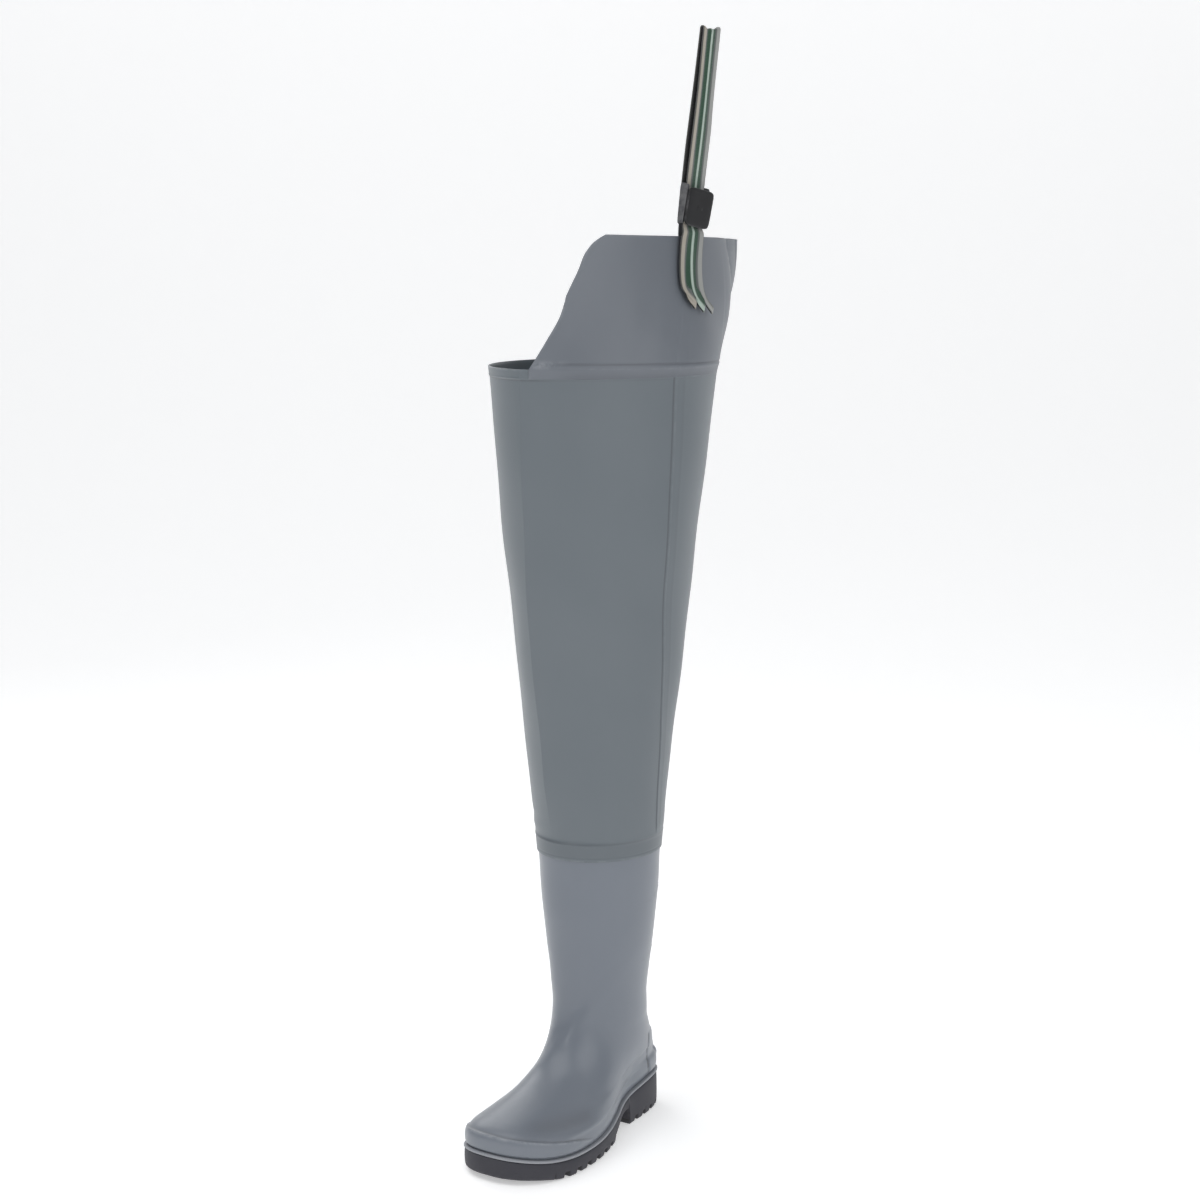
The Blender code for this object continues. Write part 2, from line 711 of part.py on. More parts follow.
def path_sheet(name, path, width, thickness, look, across=4):
    """A flat band along a path in the X-Z plane: x, z, y shift, widening."""
    path = np.asarray(path)
    run = np.gradient(path[:, :2], axis=0)
    run /= np.linalg.norm(run, axis=1)[:, None]
    normal = np.column_stack([-run[:, 1], run[:, 0]])
    grids = []
    for side in (0.5, -0.5):
        rows = []
        for k, (x, z, shift) in enumerate(path):
            ys = BUCKLE_Y + shift + np.linspace(-0.5, 0.5, across) * width
            at = np.array([x, z]) + normal[k] * thickness * side
            rows.append(np.column_stack([np.full(across, at[0]), ys, np.full(across, at[1])]))
        grids.append(np.array(rows))
    return add_sheet(name, grids[0], grids[1], look)


def strap_x_inner():
    """Middle of the strap's inner layer, behind the buckle's plate."""
    return BUCKLE_X - PLATE_BACK - FIT_GAP - STRAP_THICKNESS / 2


def strap_x_outer():
    """Middle of the strap's outer layer, between plate and lever."""
    return BUCKLE_X + STRAP_OFFSET


def buckle_height(share):
    """Height at a share of the buckle."""
    return BUCKLE_BOTTOM_Z + share * BUCKLE_HEIGHT


def loop_side(side):
    """One side of the strap's standing loop, from the buckle to its top."""
    inner = strap_x_inner()
    outer = strap_x_outer()
    low = buckle_height(1.0)
    top = STRAP_TOP_Z - (LOOP_TOP_GAP + STRAP_THICKNESS) / 2
    path = []
    for share in LOOP_SHARES:
        middle = (inner + outer) / 2 + STRAP_LEAN * share
        half = (outer - inner) / 2 * (1 - share) + LOOP_TOP_GAP / 2 * share
        half += LOOP_SWELL * math.sin(math.pi * share)
        path.append((middle + side * half, low + (top - low) * share, -STRAP_SHIFT * share))
    return path


def add_strap(look):
    """The elastic: fixed end, standing loop, run through the buckle, tail."""
    inner = strap_x_inner()
    outer = strap_x_outer()
    path = [(inner, buckle_height(share), 0.0) for share in (0.35, 0.70, 1.05)]
    path += loop_side(-1)
    middle = (inner + outer) / 2 + STRAP_LEAN
    top = path[-1][1]
    for turn in (120, 90, 60):
        reach = math.radians(turn)
        x = middle + LOOP_TOP_GAP / 2 * math.cos(reach)
        path.append((x, top + LOOP_TOP_GAP / 2 * math.sin(reach), -STRAP_SHIFT))
    path += loop_side(1)[::-1]
    path += [(outer, buckle_height(share), 0.0) for share in (1.05, 0.58, 0.09)]
    for share in TAIL_SHARES:
        z = BUCKLE_BOTTOM_Z - (BUCKLE_BOTTOM_Z - TAIL_END_Z) * share
        swing = TAIL_START + TAIL_SWING * (2 * share + share**3) / 3
        path.append((outer + swing, z, TAIL_SHIFT * share**2))
    return path_sheet("elastic_strap", path, STRAP_WIDTH, STRAP_THICKNESS, look)


def beside_flap(z, back):
    """A straight line's place inside the flap at the strap, at one height."""
    ys = BUCKLE_Y + np.linspace(-0.5, 0.5, 4) * STRAP_WIDTH
    return float(np.min(flap_point_at(ys, z, back)))


def add_tab(look):
    """The sheet tab welded inside the flap and folded round the lowest bar."""
    half = TAB_THICKNESS / 2
    clear = FIT_GAP + half
    low = BUCKLE_BOTTOM_Z
    bar_back = BUCKLE_X - PLATE_BACK
    bar_front = bar_back + BAR_DEPTH
    bar_top = buckle_height(BUCKLE_ROW_SHARES[1])
    back = -FLAP_WALL / 2 - FIT_GAP - half
    rows = [flap_height(share) for share in (*TAB_ROW_SHARES, 1.0)]
    path = [(beside_flap(z, back), z, 0.0) for z in rows]
    path.append((bar_back - clear, low - half, 0.0))
    path.append((bar_back - clear, bar_top - half, 0.0))
    path.append((bar_back, bar_top + clear, 0.0))
    path.append((bar_front, bar_top + clear, 0.0))
    path.append((bar_front + clear, bar_top - half, 0.0))
    path.append((bar_front + clear, low + half, 0.0))
    path.append((bar_front, low - clear, 0.0))
    path.append((bar_front - half, low - clear - half / 2, 0.0))
    return path_sheet("strap_tab", path, STRAP_WIDTH - 0.002, TAB_THICKNESS, look)


def flap_pad(name, centre, rows, back, thickness, look):
    """A thin pad on the flap's inner face; rows hold height and half run."""
    grids = []
    for offset in (back, back - thickness):
        grid = []
        for rise, half in rows:
            ys = centre[0] + np.linspace(-1, 1, 9) * half
            z = centre[1] + rise
            xs = flap_point_at(ys, z, offset)
            grid.append(np.column_stack([xs, ys, np.full(len(ys), z)]))
        grids.append(np.array(grid))
    return add_sheet(name, grids[0], grids[1], look)


def add_pads(look_dark, look_flap):
    """The tab's cover patch and the round patch inside the flap."""
    back = -FLAP_WALL / 2 - 2 * FIT_GAP - TAB_THICKNESS - PATCH_THICKNESS / 2
    path = [(beside_flap(z, back), z, 0.0) for z in map(flap_height, TAB_ROW_SHARES)]
    path_sheet("tab_patch", path, STRAP_WIDTH * 0.94, PATCH_THICKNESS, look_dark)
    rows = []
    for turn in np.linspace(-75.0, 75.0, 9):
        reach = math.radians(turn)
        tall = ROUND_PATCH_RADIUS * math.sin(reach) / math.sin(math.radians(75.0))
        rows.append((tall, ROUND_PATCH_RADIUS * math.cos(reach)))
    back = -FLAP_WALL / 2 - FIT_GAP
    centre = (BUCKLE_Y + ROUND_PATCH_SHIFT, flap_height(ROUND_PATCH_SHARE))
    flap_pad("round_patch", centre, rows, back, PATCH_THICKNESS, look_flap)


def add_buckle(look):
    """The adjuster: a slotted plate with side rails, and the lever on it."""
    half = BUCKLE_WIDTH / 2
    back = BUCKLE_X - PLATE_BACK
    rail_front = back + RAIL_DEPTH
    xs = [back, back + BAR_DEPTH, back + 2 * BAR_DEPTH, rail_front]
    ys = [BUCKLE_Y + d for d in (-half, -half + RAIL_WIDTH, half - RAIL_WIDTH, half)]
    zs = [buckle_height(share) for share in BUCKLE_ROW_SHARES]
    filled = set()
    for k in range(5):
        for i in range(3):
            filled.update(((i, 0, k), (i, 2, k)))
    filled.add((0, 1, 0))
    filled.update(((0, 1, 2), (1, 1, 2), (0, 1, 4), (1, 1, 4)))
    add_cells("buckle_frame", xs, ys, zs, filled, look, 0.0004)
    strap_face = strap_x_outer() + STRAP_THICKNESS / 2 + FIT_GAP
    lever_back = rail_front + FIT_GAP
    xs = [strap_face, lever_back, lever_back + LEVER_DEPTH]
    cam = half - RAIL_WIDTH - 2 * FIT_GAP
    edge = half - LEVER_INSET
    ys = [BUCKLE_Y + d for d in (-edge, -cam, cam, edge)]
    zs = [BUCKLE_BOTTOM_Z - LEVER_DROP, *map(buckle_height, LEVER_SHARES)]
    filled = {(1, j, k) for j in range(3) for k in range(3)}
    filled.add((0, 1, 1))
    add_cells("buckle_lever", xs, ys, zs, filled, look, 0.0010)


def add_eyelet(look):
    """The rivet ring that fixes the strap's end to the plate."""
    face = strap_x_inner() - STRAP_THICKNESS / 2 - FIT_GAP
    centre_z = buckle_height(EYELET_SHARE)
    profile = (
        # distance out from the strap and radius, as shares of the ring's sizes
        (0.0, 0.98),
        (0.6, 0.96),
        (1.0, 0.80),
        (0.8, 0.56),
        (0.0, 0.46),
    )
    rings = []
    for turn in turns(20):
        ring = []
        for out, share in profile:
            radius = EYELET_RADIUS * share
            y = BUCKLE_Y + radius * math.cos(turn)
            z = centre_z + radius * math.sin(turn)
            ring.append((face - out * EYELET_RISE, y, z))
        rings.append(ring)
    rings = np.array(rings)
    faces = band_faces(20, len(profile), True, True)
    add_solid("eyelet", rings.reshape(-1, 3), faces, look)


def main():
    """Builds every piece of the wader."""
    clear_scene()
    boot = material("boot_pvc", (0.24, 0.26, 0.29), 0.42)
    sheet = material("leg_sheet", (0.18, 0.20, 0.215), 0.45)
    sole = material("sole_rubber", (0.045, 0.045, 0.06), 0.6)
    bead = material("welt_pvc", (0.30, 0.32, 0.35), 0.45)
    lining = material("insole_felt", (0.35, 0.35, 0.34), 0.9)
    web = material("elastic_web", (0.12, 0.20, 0.15), 0.85)
    black = material("black_plastic", (0.02, 0.02, 0.022), 0.4)
    dark = material("dark_patch", (0.06, 0.065, 0.075), 0.5)
    steel = material("eyelet_metal", (0.75, 0.75, 0.76), 0.3)
    add_outsole(sole)
    add_welt(bead)
    add_insole(lining)
    add_boot_upper(boot)
    add_leg(sheet)
    add_flap(sheet)
    add_strap(web)
    add_tab(sheet)
    add_pads(dark, sheet)
    add_buckle(black)
    add_eyelet(steel)


main()
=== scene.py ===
# %% [markdown]
# # A left hip wader: moulded boot, thin sheet leg, hip flap and elastic strap
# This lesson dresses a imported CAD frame. The frame gives the size and place of
# every piece, and the cells below replace its plain solids with finer surfaces
# that are worked out with numpy: rings round a foot, folds pressed into a sheet,
# ribs cut across a sole, stripes woven along a band of elastic.

import math

import bpy
import numpy as np
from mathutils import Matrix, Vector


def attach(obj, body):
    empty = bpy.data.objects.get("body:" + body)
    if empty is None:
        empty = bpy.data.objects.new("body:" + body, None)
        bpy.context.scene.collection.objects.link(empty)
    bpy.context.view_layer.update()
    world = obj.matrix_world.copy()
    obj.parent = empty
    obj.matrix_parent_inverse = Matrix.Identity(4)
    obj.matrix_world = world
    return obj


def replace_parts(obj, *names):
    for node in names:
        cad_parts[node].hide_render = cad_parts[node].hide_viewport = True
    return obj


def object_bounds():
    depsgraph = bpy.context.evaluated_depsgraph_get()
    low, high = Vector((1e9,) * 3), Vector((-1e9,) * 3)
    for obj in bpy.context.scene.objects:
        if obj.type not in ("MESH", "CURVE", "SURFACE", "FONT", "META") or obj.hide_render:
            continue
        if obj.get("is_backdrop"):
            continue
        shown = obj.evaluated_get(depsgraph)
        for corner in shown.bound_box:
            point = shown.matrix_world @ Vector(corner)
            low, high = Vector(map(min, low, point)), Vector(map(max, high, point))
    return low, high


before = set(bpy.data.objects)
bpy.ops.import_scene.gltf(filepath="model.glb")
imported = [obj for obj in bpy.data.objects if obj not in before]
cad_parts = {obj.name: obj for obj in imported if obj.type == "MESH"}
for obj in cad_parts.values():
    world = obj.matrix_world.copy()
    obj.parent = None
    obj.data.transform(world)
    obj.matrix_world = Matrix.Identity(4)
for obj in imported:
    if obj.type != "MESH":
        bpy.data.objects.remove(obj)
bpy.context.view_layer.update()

# %% [markdown]
# ## Camera
# The photo was taken from the front and outer side, about 36 degrees off the
# toe's direction, with the horizon near the top of the flap. The camera comes
# first, so that every later choice can be judged through it.

# %% Camera
PICTURE = 1200
FOCUS_PIXELS = 2312.5
azimuth = math.radians(36.0)
pitch = math.atan(363.0 / FOCUS_PIXELS)
yaw = math.radians(1.9)
behind = np.array([math.sin(azimuth), -math.cos(azimuth), 0.0])
beside = np.array([math.cos(azimuth), math.sin(azimuth), 0.0])
lens_place = np.array([0.0, -0.040, 0.987]) + behind * 2.5 - beside * (81.0 / FOCUS_PIXELS * 2.5)

camera_data = bpy.data.cameras.new("photo_camera")
camera_data.sensor_width = 36.0
camera_data.lens = 36.0 * FOCUS_PIXELS / PICTURE
camera_data.clip_start = 0.05
camera = bpy.data.objects.new("photo_camera", camera_data)
camera.location = lens_place
camera.rotation_euler = (math.pi / 2 - pitch, 0.0, azimuth - yaw)
bpy.context.scene.collection.objects.link(camera)
bpy.context.scene.camera = camera
print("camera at", [round(v, 3) for v in lens_place])

# %% [markdown]
# ## Floor and light
# A seamless sheet of pale board that curves up behind, large soft lamps on the
# outer side and overhead, a smaller one on the toe's inner side and a weak one in
# front. Satin PVC shows its shape in wide soft highlights, so the lamps are large.

# %% Pale board
def plain_look(name, color, roughness, glow):
    """A Principled material with one colour and a faint glow, for the studio only."""
    look = bpy.data.materials.new(name)
    look.use_nodes = True
    shader = look.node_tree.nodes["Principled BSDF"]
    shader.inputs["Base Color"].default_value = (*color, 1.0)
    shader.inputs["Roughness"].default_value = roughness
    shader.inputs["Emission Color"].default_value = (*color, 1.0)
    shader.inputs["Emission Strength"].default_value = glow
    return look


def seamless_board():
    """Across the view times away from it; past the bend the board climbs on an arc, then straight."""
    bend, radius, top = 2.2, 2.0, 7.0
    across = np.linspace(-7.0, 7.0, 9)[None, :, None]
    arc = np.linspace(0.1, 1.5, 14)
    run = np.concatenate([[-5.0, 0.0, bend], bend + radius * np.sin(arc)])
    height = np.concatenate([[0.0, 0.0, 0.0], radius - radius * np.cos(arc)])
    run = np.append(run, run[-1])[:, None, None]
    height = np.append(height, top)[:, None, None]
    grid = beside * across - behind * run + np.array([0.0, 0.0, 1.0]) * height
    rows, cols = grid.shape[:2]
    first = (np.arange(rows - 1)[:, None] * cols + np.arange(cols - 1)).ravel()
    faces = np.stack([first, first + 1, first + cols + 1, first + cols], axis=1)
    mesh = bpy.data.meshes.new("floor")
    mesh.from_pydata(grid.reshape(-1, 3).tolist(), [], faces.tolist())
    mesh.polygons.foreach_set("use_smooth", np.full(len(faces), True))
    mesh.materials.append(plain_look("pale_board", (0.92, 0.92, 0.92), 0.9, 0.42))
    board = bpy.data.objects.new("floor", mesh)
    bpy.context.scene.collection.objects.link(board)
    return board


seamless_board()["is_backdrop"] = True
print("a seamless board as the floor")

# %% Soft lamps
def soft_lamp(name, place, target, size, power):
    """A square area lamp that looks at a point."""
    data = bpy.data.lights.new(name, "AREA")
    data.shape = "SQUARE"
    data.size = size
    data.energy = power
    lamp = bpy.data.objects.new(name, data)
    lamp.location = place
    look_along = np.array(target) - np.array(place)
    flat = math.hypot(look_along[0], look_along[1])
    lamp.rotation_euler = (math.atan2(flat, -look_along[2]), 0.0,
                           math.atan2(-look_along[0], look_along[1]))
    bpy.context.scene.collection.objects.link(lamp)
    return lamp


middle = (0.0, -0.05, 0.55)
soft_lamp("toe_side", (-1.65, 0.72, 1.5), (0.0, -0.2, 0.1), 1.0, 6.0)
soft_lamp("front", (-0.2, -2.3, 1.15), (0.0, -0.1, 0.12), 0.45, 3.0)
soft_lamp("outer_side", (2.7, -0.9, 1.9), middle, 2.8, 28.0)
soft_lamp("overhead", (-0.6, -1.1, 2.8), middle, 2.4, 27.0)
bpy.context.scene.view_settings.view_transform = "Standard"
world = bpy.data.worlds.new("soft_room")
bpy.context.scene.world = world
world.use_nodes = True
world.node_tree.nodes["Background"].inputs["Color"].default_value = (0.95, 0.97, 1.0, 1.0)
world.node_tree.nodes["Background"].inputs["Strength"].default_value = 0.34
print("four soft lamps and a pale room")

# %% [markdown]
# ## Numpy helpers for surfaces
# A smooth curve through a short table, a smooth rise from 0 to 1, a soft bump,
# and one builder that turns a grid of points into a mesh. The builder checks the
# signed volume of a closed surface and turns the faces round if it is negative,
# so outward really is outward.

# %% Curves, masks and bumps
def curve(rows, column, at):
    """A cubic through one column of a table, with slopes from its neighbours."""
    table = np.array(rows, float)
    xs, ys = table[:, 0], table[:, column]
    slopes = np.gradient(ys, xs)
    at = np.clip(np.asarray(at, float), xs[0], xs[-1])
    k = np.clip(np.searchsorted(xs, at) - 1, 0, len(xs) - 2)
    step = xs[k + 1] - xs[k]
    f = (at - xs[k]) / step
    value = ys[k] * (2 * f**3 - 3 * f**2 + 1) + ys[k + 1] * (3 * f**2 - 2 * f**3)
    return value + (slopes[k] * (f**3 - 2 * f**2 + f) + slopes[k + 1] * (f**3 - f**2)) * step


def rise(value, low, high):
    """0 below low, 1 above high, an S between them; low may be the larger."""
    f = np.clip((np.asarray(value, float) - low) / (high - low), 0.0, 1.0)
    return f * f * (3 - 2 * f)


def bump(value, centre, width):
    """A bell: 1 at the centre, down to a third at one width."""
    return np.exp(-(((np.asarray(value, float) - centre) / width) ** 2))


def off_angle(angle, centre):
    """Degrees from a direction round a section, from -180 to 180."""
    return (np.degrees(angle) - centre + 180.0) % 360.0 - 180.0


def through_rings(rings, shares):
    """Rings joined by cubics along their mean chord, read at shares of the whole chord."""
    rings = np.asarray(rings)
    chord = np.linalg.norm(np.diff(rings, axis=0), axis=2).mean(axis=1)
    place = np.concatenate([[0.0], np.cumsum(chord)])
    slopes = np.gradient(rings, place, axis=0)
    at = shares * place[-1]
    k = np.clip(np.searchsorted(place, at) - 1, 0, len(place) - 2)
    step = (place[k + 1] - place[k])[:, None, None]
    f = ((at - place[k])[:, None, None]) / step
    value = rings[k] * (2 * f**3 - 3 * f**2 + 1) + rings[k + 1] * (3 * f**2 - 2 * f**3)
    return value + (slopes[k] * (f**3 - 2 * f**2 + f) + slopes[k + 1] * (f**3 - f**2)) * step


def ring_normals(rings):
    """Outward unit normals of stacked closed rings: around crossed with up."""
    around = np.roll(rings, -1, axis=1) - np.roll(rings, 1, axis=1)
    up = np.gradient(rings, axis=0)
    normal = np.cross(around, up)
    normal /= np.maximum(np.linalg.norm(normal, axis=2), 1e-12)[:, :, None]
    return normal * np.sign(np.sum(normal * (rings - rings.mean(axis=1)[:, None])))


def sheet_normals(grid):
    """Unit normals of an open grid, on the side of +X."""
    normal = np.cross(np.gradient(grid, axis=1), np.gradient(grid, axis=0))
    normal /= np.maximum(np.linalg.norm(normal, axis=2), 1e-12)[:, :, None]
    return normal * np.sign(np.sum(normal[:, :, 0]))


print("curve at 0.5", float(curve(((0, 0), (1, 1)), 1, 0.5)))

# %% Turn a grid into a mesh
def grid_quads(rows, cols, wrap_rows, wrap_cols):
    """Corner numbers of every four-sided face, with their row and column."""
    r = np.arange(rows if wrap_rows else rows - 1)
    c = np.arange(cols if wrap_cols else cols - 1)
    r, c = np.meshgrid(r, c, indexing="ij")
    r, c = r.ravel(), c.ravel()
    row = np.stack([r, r, r + 1, r + 1], axis=1)
    col = np.stack([c, c + 1, c + 1, c], axis=1)
    return (row % rows) * cols + (col % cols), row, col


def end_caps(rows, cols):
    """Strips across the first and the last ring, from one side to the other."""
    k = np.arange(cols // 2 - 1)
    strip = np.stack([k, k + 1, cols - 2 - k, cols - 1 - k], axis=1)
    return np.concatenate([strip[:, ::-1], strip + (rows - 1) * cols])


def volume_of(points, quads):
    """Signed volume under the faces: a sixth of each corner's triple product."""
    a, b, c, d = (points[quads[:, k]] for k in range(4))
    first = np.einsum("ij,ij->i", a, np.cross(b, c))
    second = np.einsum("ij,ij->i", a, np.cross(c, d))
    return float((first + second).sum() / 6)


def make_piece(name, points, quads, uv, look, marks=None):
    """Fills a mesh with foreach_set and turns it outwards if it is closed."""
    points = np.asarray(points, float).reshape(-1, 3)
    if volume_of(points - points.mean(axis=0), quads) < 0:
        quads = quads[:, ::-1]
        uv = None if uv is None else uv[:, ::-1]
    mesh = bpy.data.meshes.new(name)
    mesh.vertices.add(len(points))
    mesh.vertices.foreach_set("co", points.astype(np.float32).ravel())
    mesh.loops.add(quads.size)
    mesh.loops.foreach_set("vertex_index", quads.astype(np.int32).ravel())
    mesh.polygons.add(len(quads))
    mesh.polygons.foreach_set("loop_start", np.arange(0, quads.size, 4, dtype=np.int32))
    mesh.polygons.foreach_set("use_smooth", np.full(len(quads), True))
    mesh.update(calc_edges=True)
    if uv is not None:
        layer = mesh.uv_layers.new(name="surface")
        layer.data.foreach_set("uv", uv.astype(np.float32).ravel())
    for mark, values in (marks or {}).items():
        attribute = mesh.attributes.new(mark, "FLOAT", "POINT")
        attribute.data.foreach_set("value", np.asarray(values, np.float32).ravel())
    mesh.validate()
    mesh.materials.append(look)
    piece = bpy.data.objects.new(name, mesh)
    bpy.context.scene.collection.objects.link(piece)
    print(name, len(quads) * 2, "triangles")
    return piece


def shell_piece(name, outside, inside, look, marks=None, lip=0.35):
    """A hollow wall: rings up the outside, over a rounded rim, down the inside."""
    def rim(out, into, sign):
        centre = (out + into) / 2
        half = np.linalg.norm(out - into, axis=1)[:, None] / 2
        arc = []
        for turn in (0.28, 0.5, 0.72):
            reach = math.pi * turn
            lift = np.array([0.0, 0.0, sign * lip]) * half * 2 * math.sin(reach)
            arc.append(centre + (out - centre) * math.cos(reach) + lift)
        return arc

    top = rim(outside[-1], inside[-1], 1.0)
    foot = rim(inside[0], outside[0], -1.0)
    rings = np.concatenate([outside, top, inside[::-1], foot])
    rows, cols = rings.shape[:2]
    quads, row, col = grid_quads(rows, cols, True, True)
    uv = np.stack([col / cols, row / rows], axis=2)
    wide = {}
    for mark, values in (marks or {}).items():
        full = np.zeros((rows, cols))
        full[: len(outside)] = values
        wide[mark] = full
    return make_piece(name, rings, quads, uv, look, wide)


def sheet_piece(name, outside, inside, look, marks=None, scale=(1.0, 1.0)):
    """Two matching open grids joined by a rounded edge all round."""
    rows, cols = outside.shape[:2]
    points = np.concatenate([outside, inside[::-1]])
    quads, row, col = grid_quads(2 * rows, cols, True, False)
    front = np.arange(rows - 1) * cols
    back = (2 * rows - 1) * cols - front
    near = np.stack([front, front + cols, back - cols, back], axis=1)
    side = np.concatenate([near, near[:, [1, 0, 3, 2]] + cols - 1])
    quads = np.concatenate([quads, side])
    row = np.concatenate([row, side // cols])
    col = np.concatenate([col, side % cols])
    row = np.where(row > rows - 1, 2 * rows - 1 - row, row)
    uv = np.stack([col / (cols - 1) * scale[0], row / (rows - 1) * scale[1]], axis=2)
    wide = {}
    for mark, values in (marks or {}).items():
        wide[mark] = np.concatenate([values, values[::-1]])
    wide["reverse"] = np.concatenate([np.zeros((rows, cols)), np.ones((rows, cols))])
    return make_piece(name, points, quads, uv, look, wide)


# %% [markdown]
# ## Grain, wear with painted highlights, and dust as node groups
# Three small effects return on every finish: a fine grain that only bends the
# light, a lighter or darker tone along marked edges, which is wear where an edge
# is rubbed and a painted highlight along some lips, bends and rims, and a thin dust
# that gathers low down and in grooves. Each is a group with named inputs, built
# once and placed in each material with its own values.

# %% Helpers for node groups
def new_group(name, inputs, outputs):
    """A shader group with float or colour sockets, and its two end nodes."""
    group = bpy.data.node_groups.new(name, "ShaderNodeTree")
    for label, kind, value in inputs:
        socket = group.interface.new_socket(label, in_out="INPUT", socket_type=kind)
        socket.default_value = value
    for label, kind in outputs:
        group.interface.new_socket(label, in_out="OUTPUT", socket_type=kind)
    entry = group.nodes.new("NodeGroupInput")
    leave = group.nodes.new("NodeGroupOutput")
    return group, entry, leave


def feed(tree, socket, value):
    """Links an output to a socket, or sets the socket to a number or a colour."""
    if isinstance(value, bpy.types.NodeSocket):
        tree.links.new(value, socket)
    elif isinstance(value, tuple):
        socket.default_value = (*value, 1.0)
    else:
        socket.default_value = value


def node(tree, kind, **settings):
    """A node with its settings; a key that is a socket's name feeds that socket."""
    made = tree.nodes.new(kind)
    for key, value in settings.items():
        if hasattr(made, key):
            setattr(made, key, value)
        else:
            feed(tree, made.inputs[key.replace("_", " ")], value)
    return made


def math_node(tree, operation, first, second, clamp=False):
    """One Math node; each operand is a number or an output to link."""
    made = node(tree, "ShaderNodeMath", operation=operation, use_clamp=clamp)
    feed(tree, made.inputs[0], first)
    feed(tree, made.inputs[1], second)
    return made.outputs[0]


def mix_color(tree, share, first, second):
    """A Mix node between two colours or outputs."""
    made = node(tree, "ShaderNodeMix", data_type="RGBA")
    for slot, value in ((0, share), (6, first), (7, second)):
        feed(tree, made.inputs[slot], value)
    return made.outputs[2]


FLOAT, COLOR = "NodeSocketFloat", "NodeSocketColor"
print("sockets hold", FLOAT, "or", COLOR)

# %% Fine grain
# The pebble of moulded or calendered plastic plus a slow unevenness
grain_group, entry, leave = new_group(
    "fine_grain",
    (("Size", FLOAT, 900.0), ("Slow", FLOAT, 14.0), ("Slow Share", FLOAT, 0.5)),
    (("Height", FLOAT), ("Mask", FLOAT)),
)
place = node(grain_group, "ShaderNodeTexCoord")
fine = node(grain_group, "ShaderNodeTexNoise", Detail=2.0, Roughness=0.55)
slow = node(grain_group, "ShaderNodeTexNoise", Detail=3.0, Roughness=0.5)
for texture, size in ((fine, "Size"), (slow, "Slow")):
    grain_group.links.new(place.outputs["Object"], texture.inputs["Vector"])
    grain_group.links.new(entry.outputs[size], texture.inputs["Scale"])
slow_part = math_node(grain_group, "MULTIPLY", slow.outputs["Fac"], entry.outputs["Slow Share"])
height = math_node(grain_group, "ADD", fine.outputs["Fac"], slow_part)
grain_group.links.new(height, leave.inputs["Height"])
grain_group.links.new(slow.outputs["Fac"], leave.inputs["Mask"])

print("group", grain_group.name)

# %% Edge wear and painted highlights
# A mesh mark of rubbed edges and of painted highlight lines, broken up by noise
wear_and_highlight_group, entry, leave = new_group(
    "edge_wear_and_highlight",
    (("Color", COLOR, (0.5, 0.5, 0.5, 1)), ("Worn Color", COLOR, (0.6, 0.6, 0.6, 1)),
     ("Edge", FLOAT, 0.0), ("Amount", FLOAT, 0.6), ("Break Up", FLOAT, 90.0)),
    (("Color", COLOR), ("Mask", FLOAT)),
)
place = node(wear_and_highlight_group, "ShaderNodeTexCoord")
breakup = node(wear_and_highlight_group, "ShaderNodeTexNoise", Detail=4.0, Roughness=0.65)
wear_and_highlight_group.links.new(place.outputs["Object"], breakup.inputs["Vector"])
wear_and_highlight_group.links.new(entry.outputs["Break Up"], breakup.inputs["Scale"])
patchy = node(wear_and_highlight_group, "ShaderNodeMapRange", interpolation_type="SMOOTHSTEP")
patchy.inputs["From Min"].default_value = 0.36
patchy.inputs["From Max"].default_value = 0.66
wear_and_highlight_group.links.new(breakup.outputs["Fac"], patchy.inputs["Value"])
lightened = math_node(wear_and_highlight_group, "MULTIPLY", entry.outputs["Edge"], patchy.outputs["Result"])
lightened = math_node(wear_and_highlight_group, "MULTIPLY", lightened, entry.outputs["Amount"], clamp=True)
wear_and_highlight_group.links.new(mix_color(wear_and_highlight_group, lightened, entry.outputs["Color"],
                               entry.outputs["Worn Color"]), leave.inputs["Color"])
wear_and_highlight_group.links.new(lightened, leave.inputs["Mask"])

print("group", wear_and_highlight_group.name)

# %% Low dust
# A pale film low on the boot and in grooves
dust_group, entry, leave = new_group(
    "low_dust",
    (("Color", COLOR, (0.5, 0.5, 0.5, 1)), ("Dust Color", COLOR, (0.45, 0.43, 0.40, 1)),
     ("Groove", FLOAT, 0.0), ("Amount", FLOAT, 0.15), ("Top", FLOAT, 0.06)),
    (("Color", COLOR), ("Mask", FLOAT)),
)
place = node(dust_group, "ShaderNodeTexCoord")
split = node(dust_group, "ShaderNodeSeparateXYZ")
dust_group.links.new(place.outputs["Object"], split.inputs[0])
cloud = node(dust_group, "ShaderNodeTexNoise", Scale=38.0, Detail=5.0, Roughness=0.7)
dust_group.links.new(place.outputs["Object"], cloud.inputs["Vector"])
low = math_node(dust_group, "DIVIDE", split.outputs["Z"], entry.outputs["Top"], clamp=True)
low = math_node(dust_group, "SUBTRACT", 1.0, low)
low = math_node(dust_group, "ADD", low, entry.outputs["Groove"], clamp=True)
film = math_node(dust_group, "MULTIPLY", low, cloud.outputs["Fac"])
film = math_node(dust_group, "MULTIPLY", film, entry.outputs["Amount"], clamp=True)
dust_group.links.new(mix_color(dust_group, film, entry.outputs["Color"],
                               entry.outputs["Dust Color"]), leave.inputs["Color"])
dust_group.links.new(film, leave.inputs["Mask"])
print("groups", [g.name for g in bpy.data.node_groups])

# %% [markdown]
# ## PVC finishes
# The boot is injection moulded PVC: smooth, satin, with a faint unevenness. The
# leg and flap are calendered sheet, a little darker and duller, with a slow
# mottle. One function builds them all from colour, gloss, grain and wear, so a
# new finish is one line.

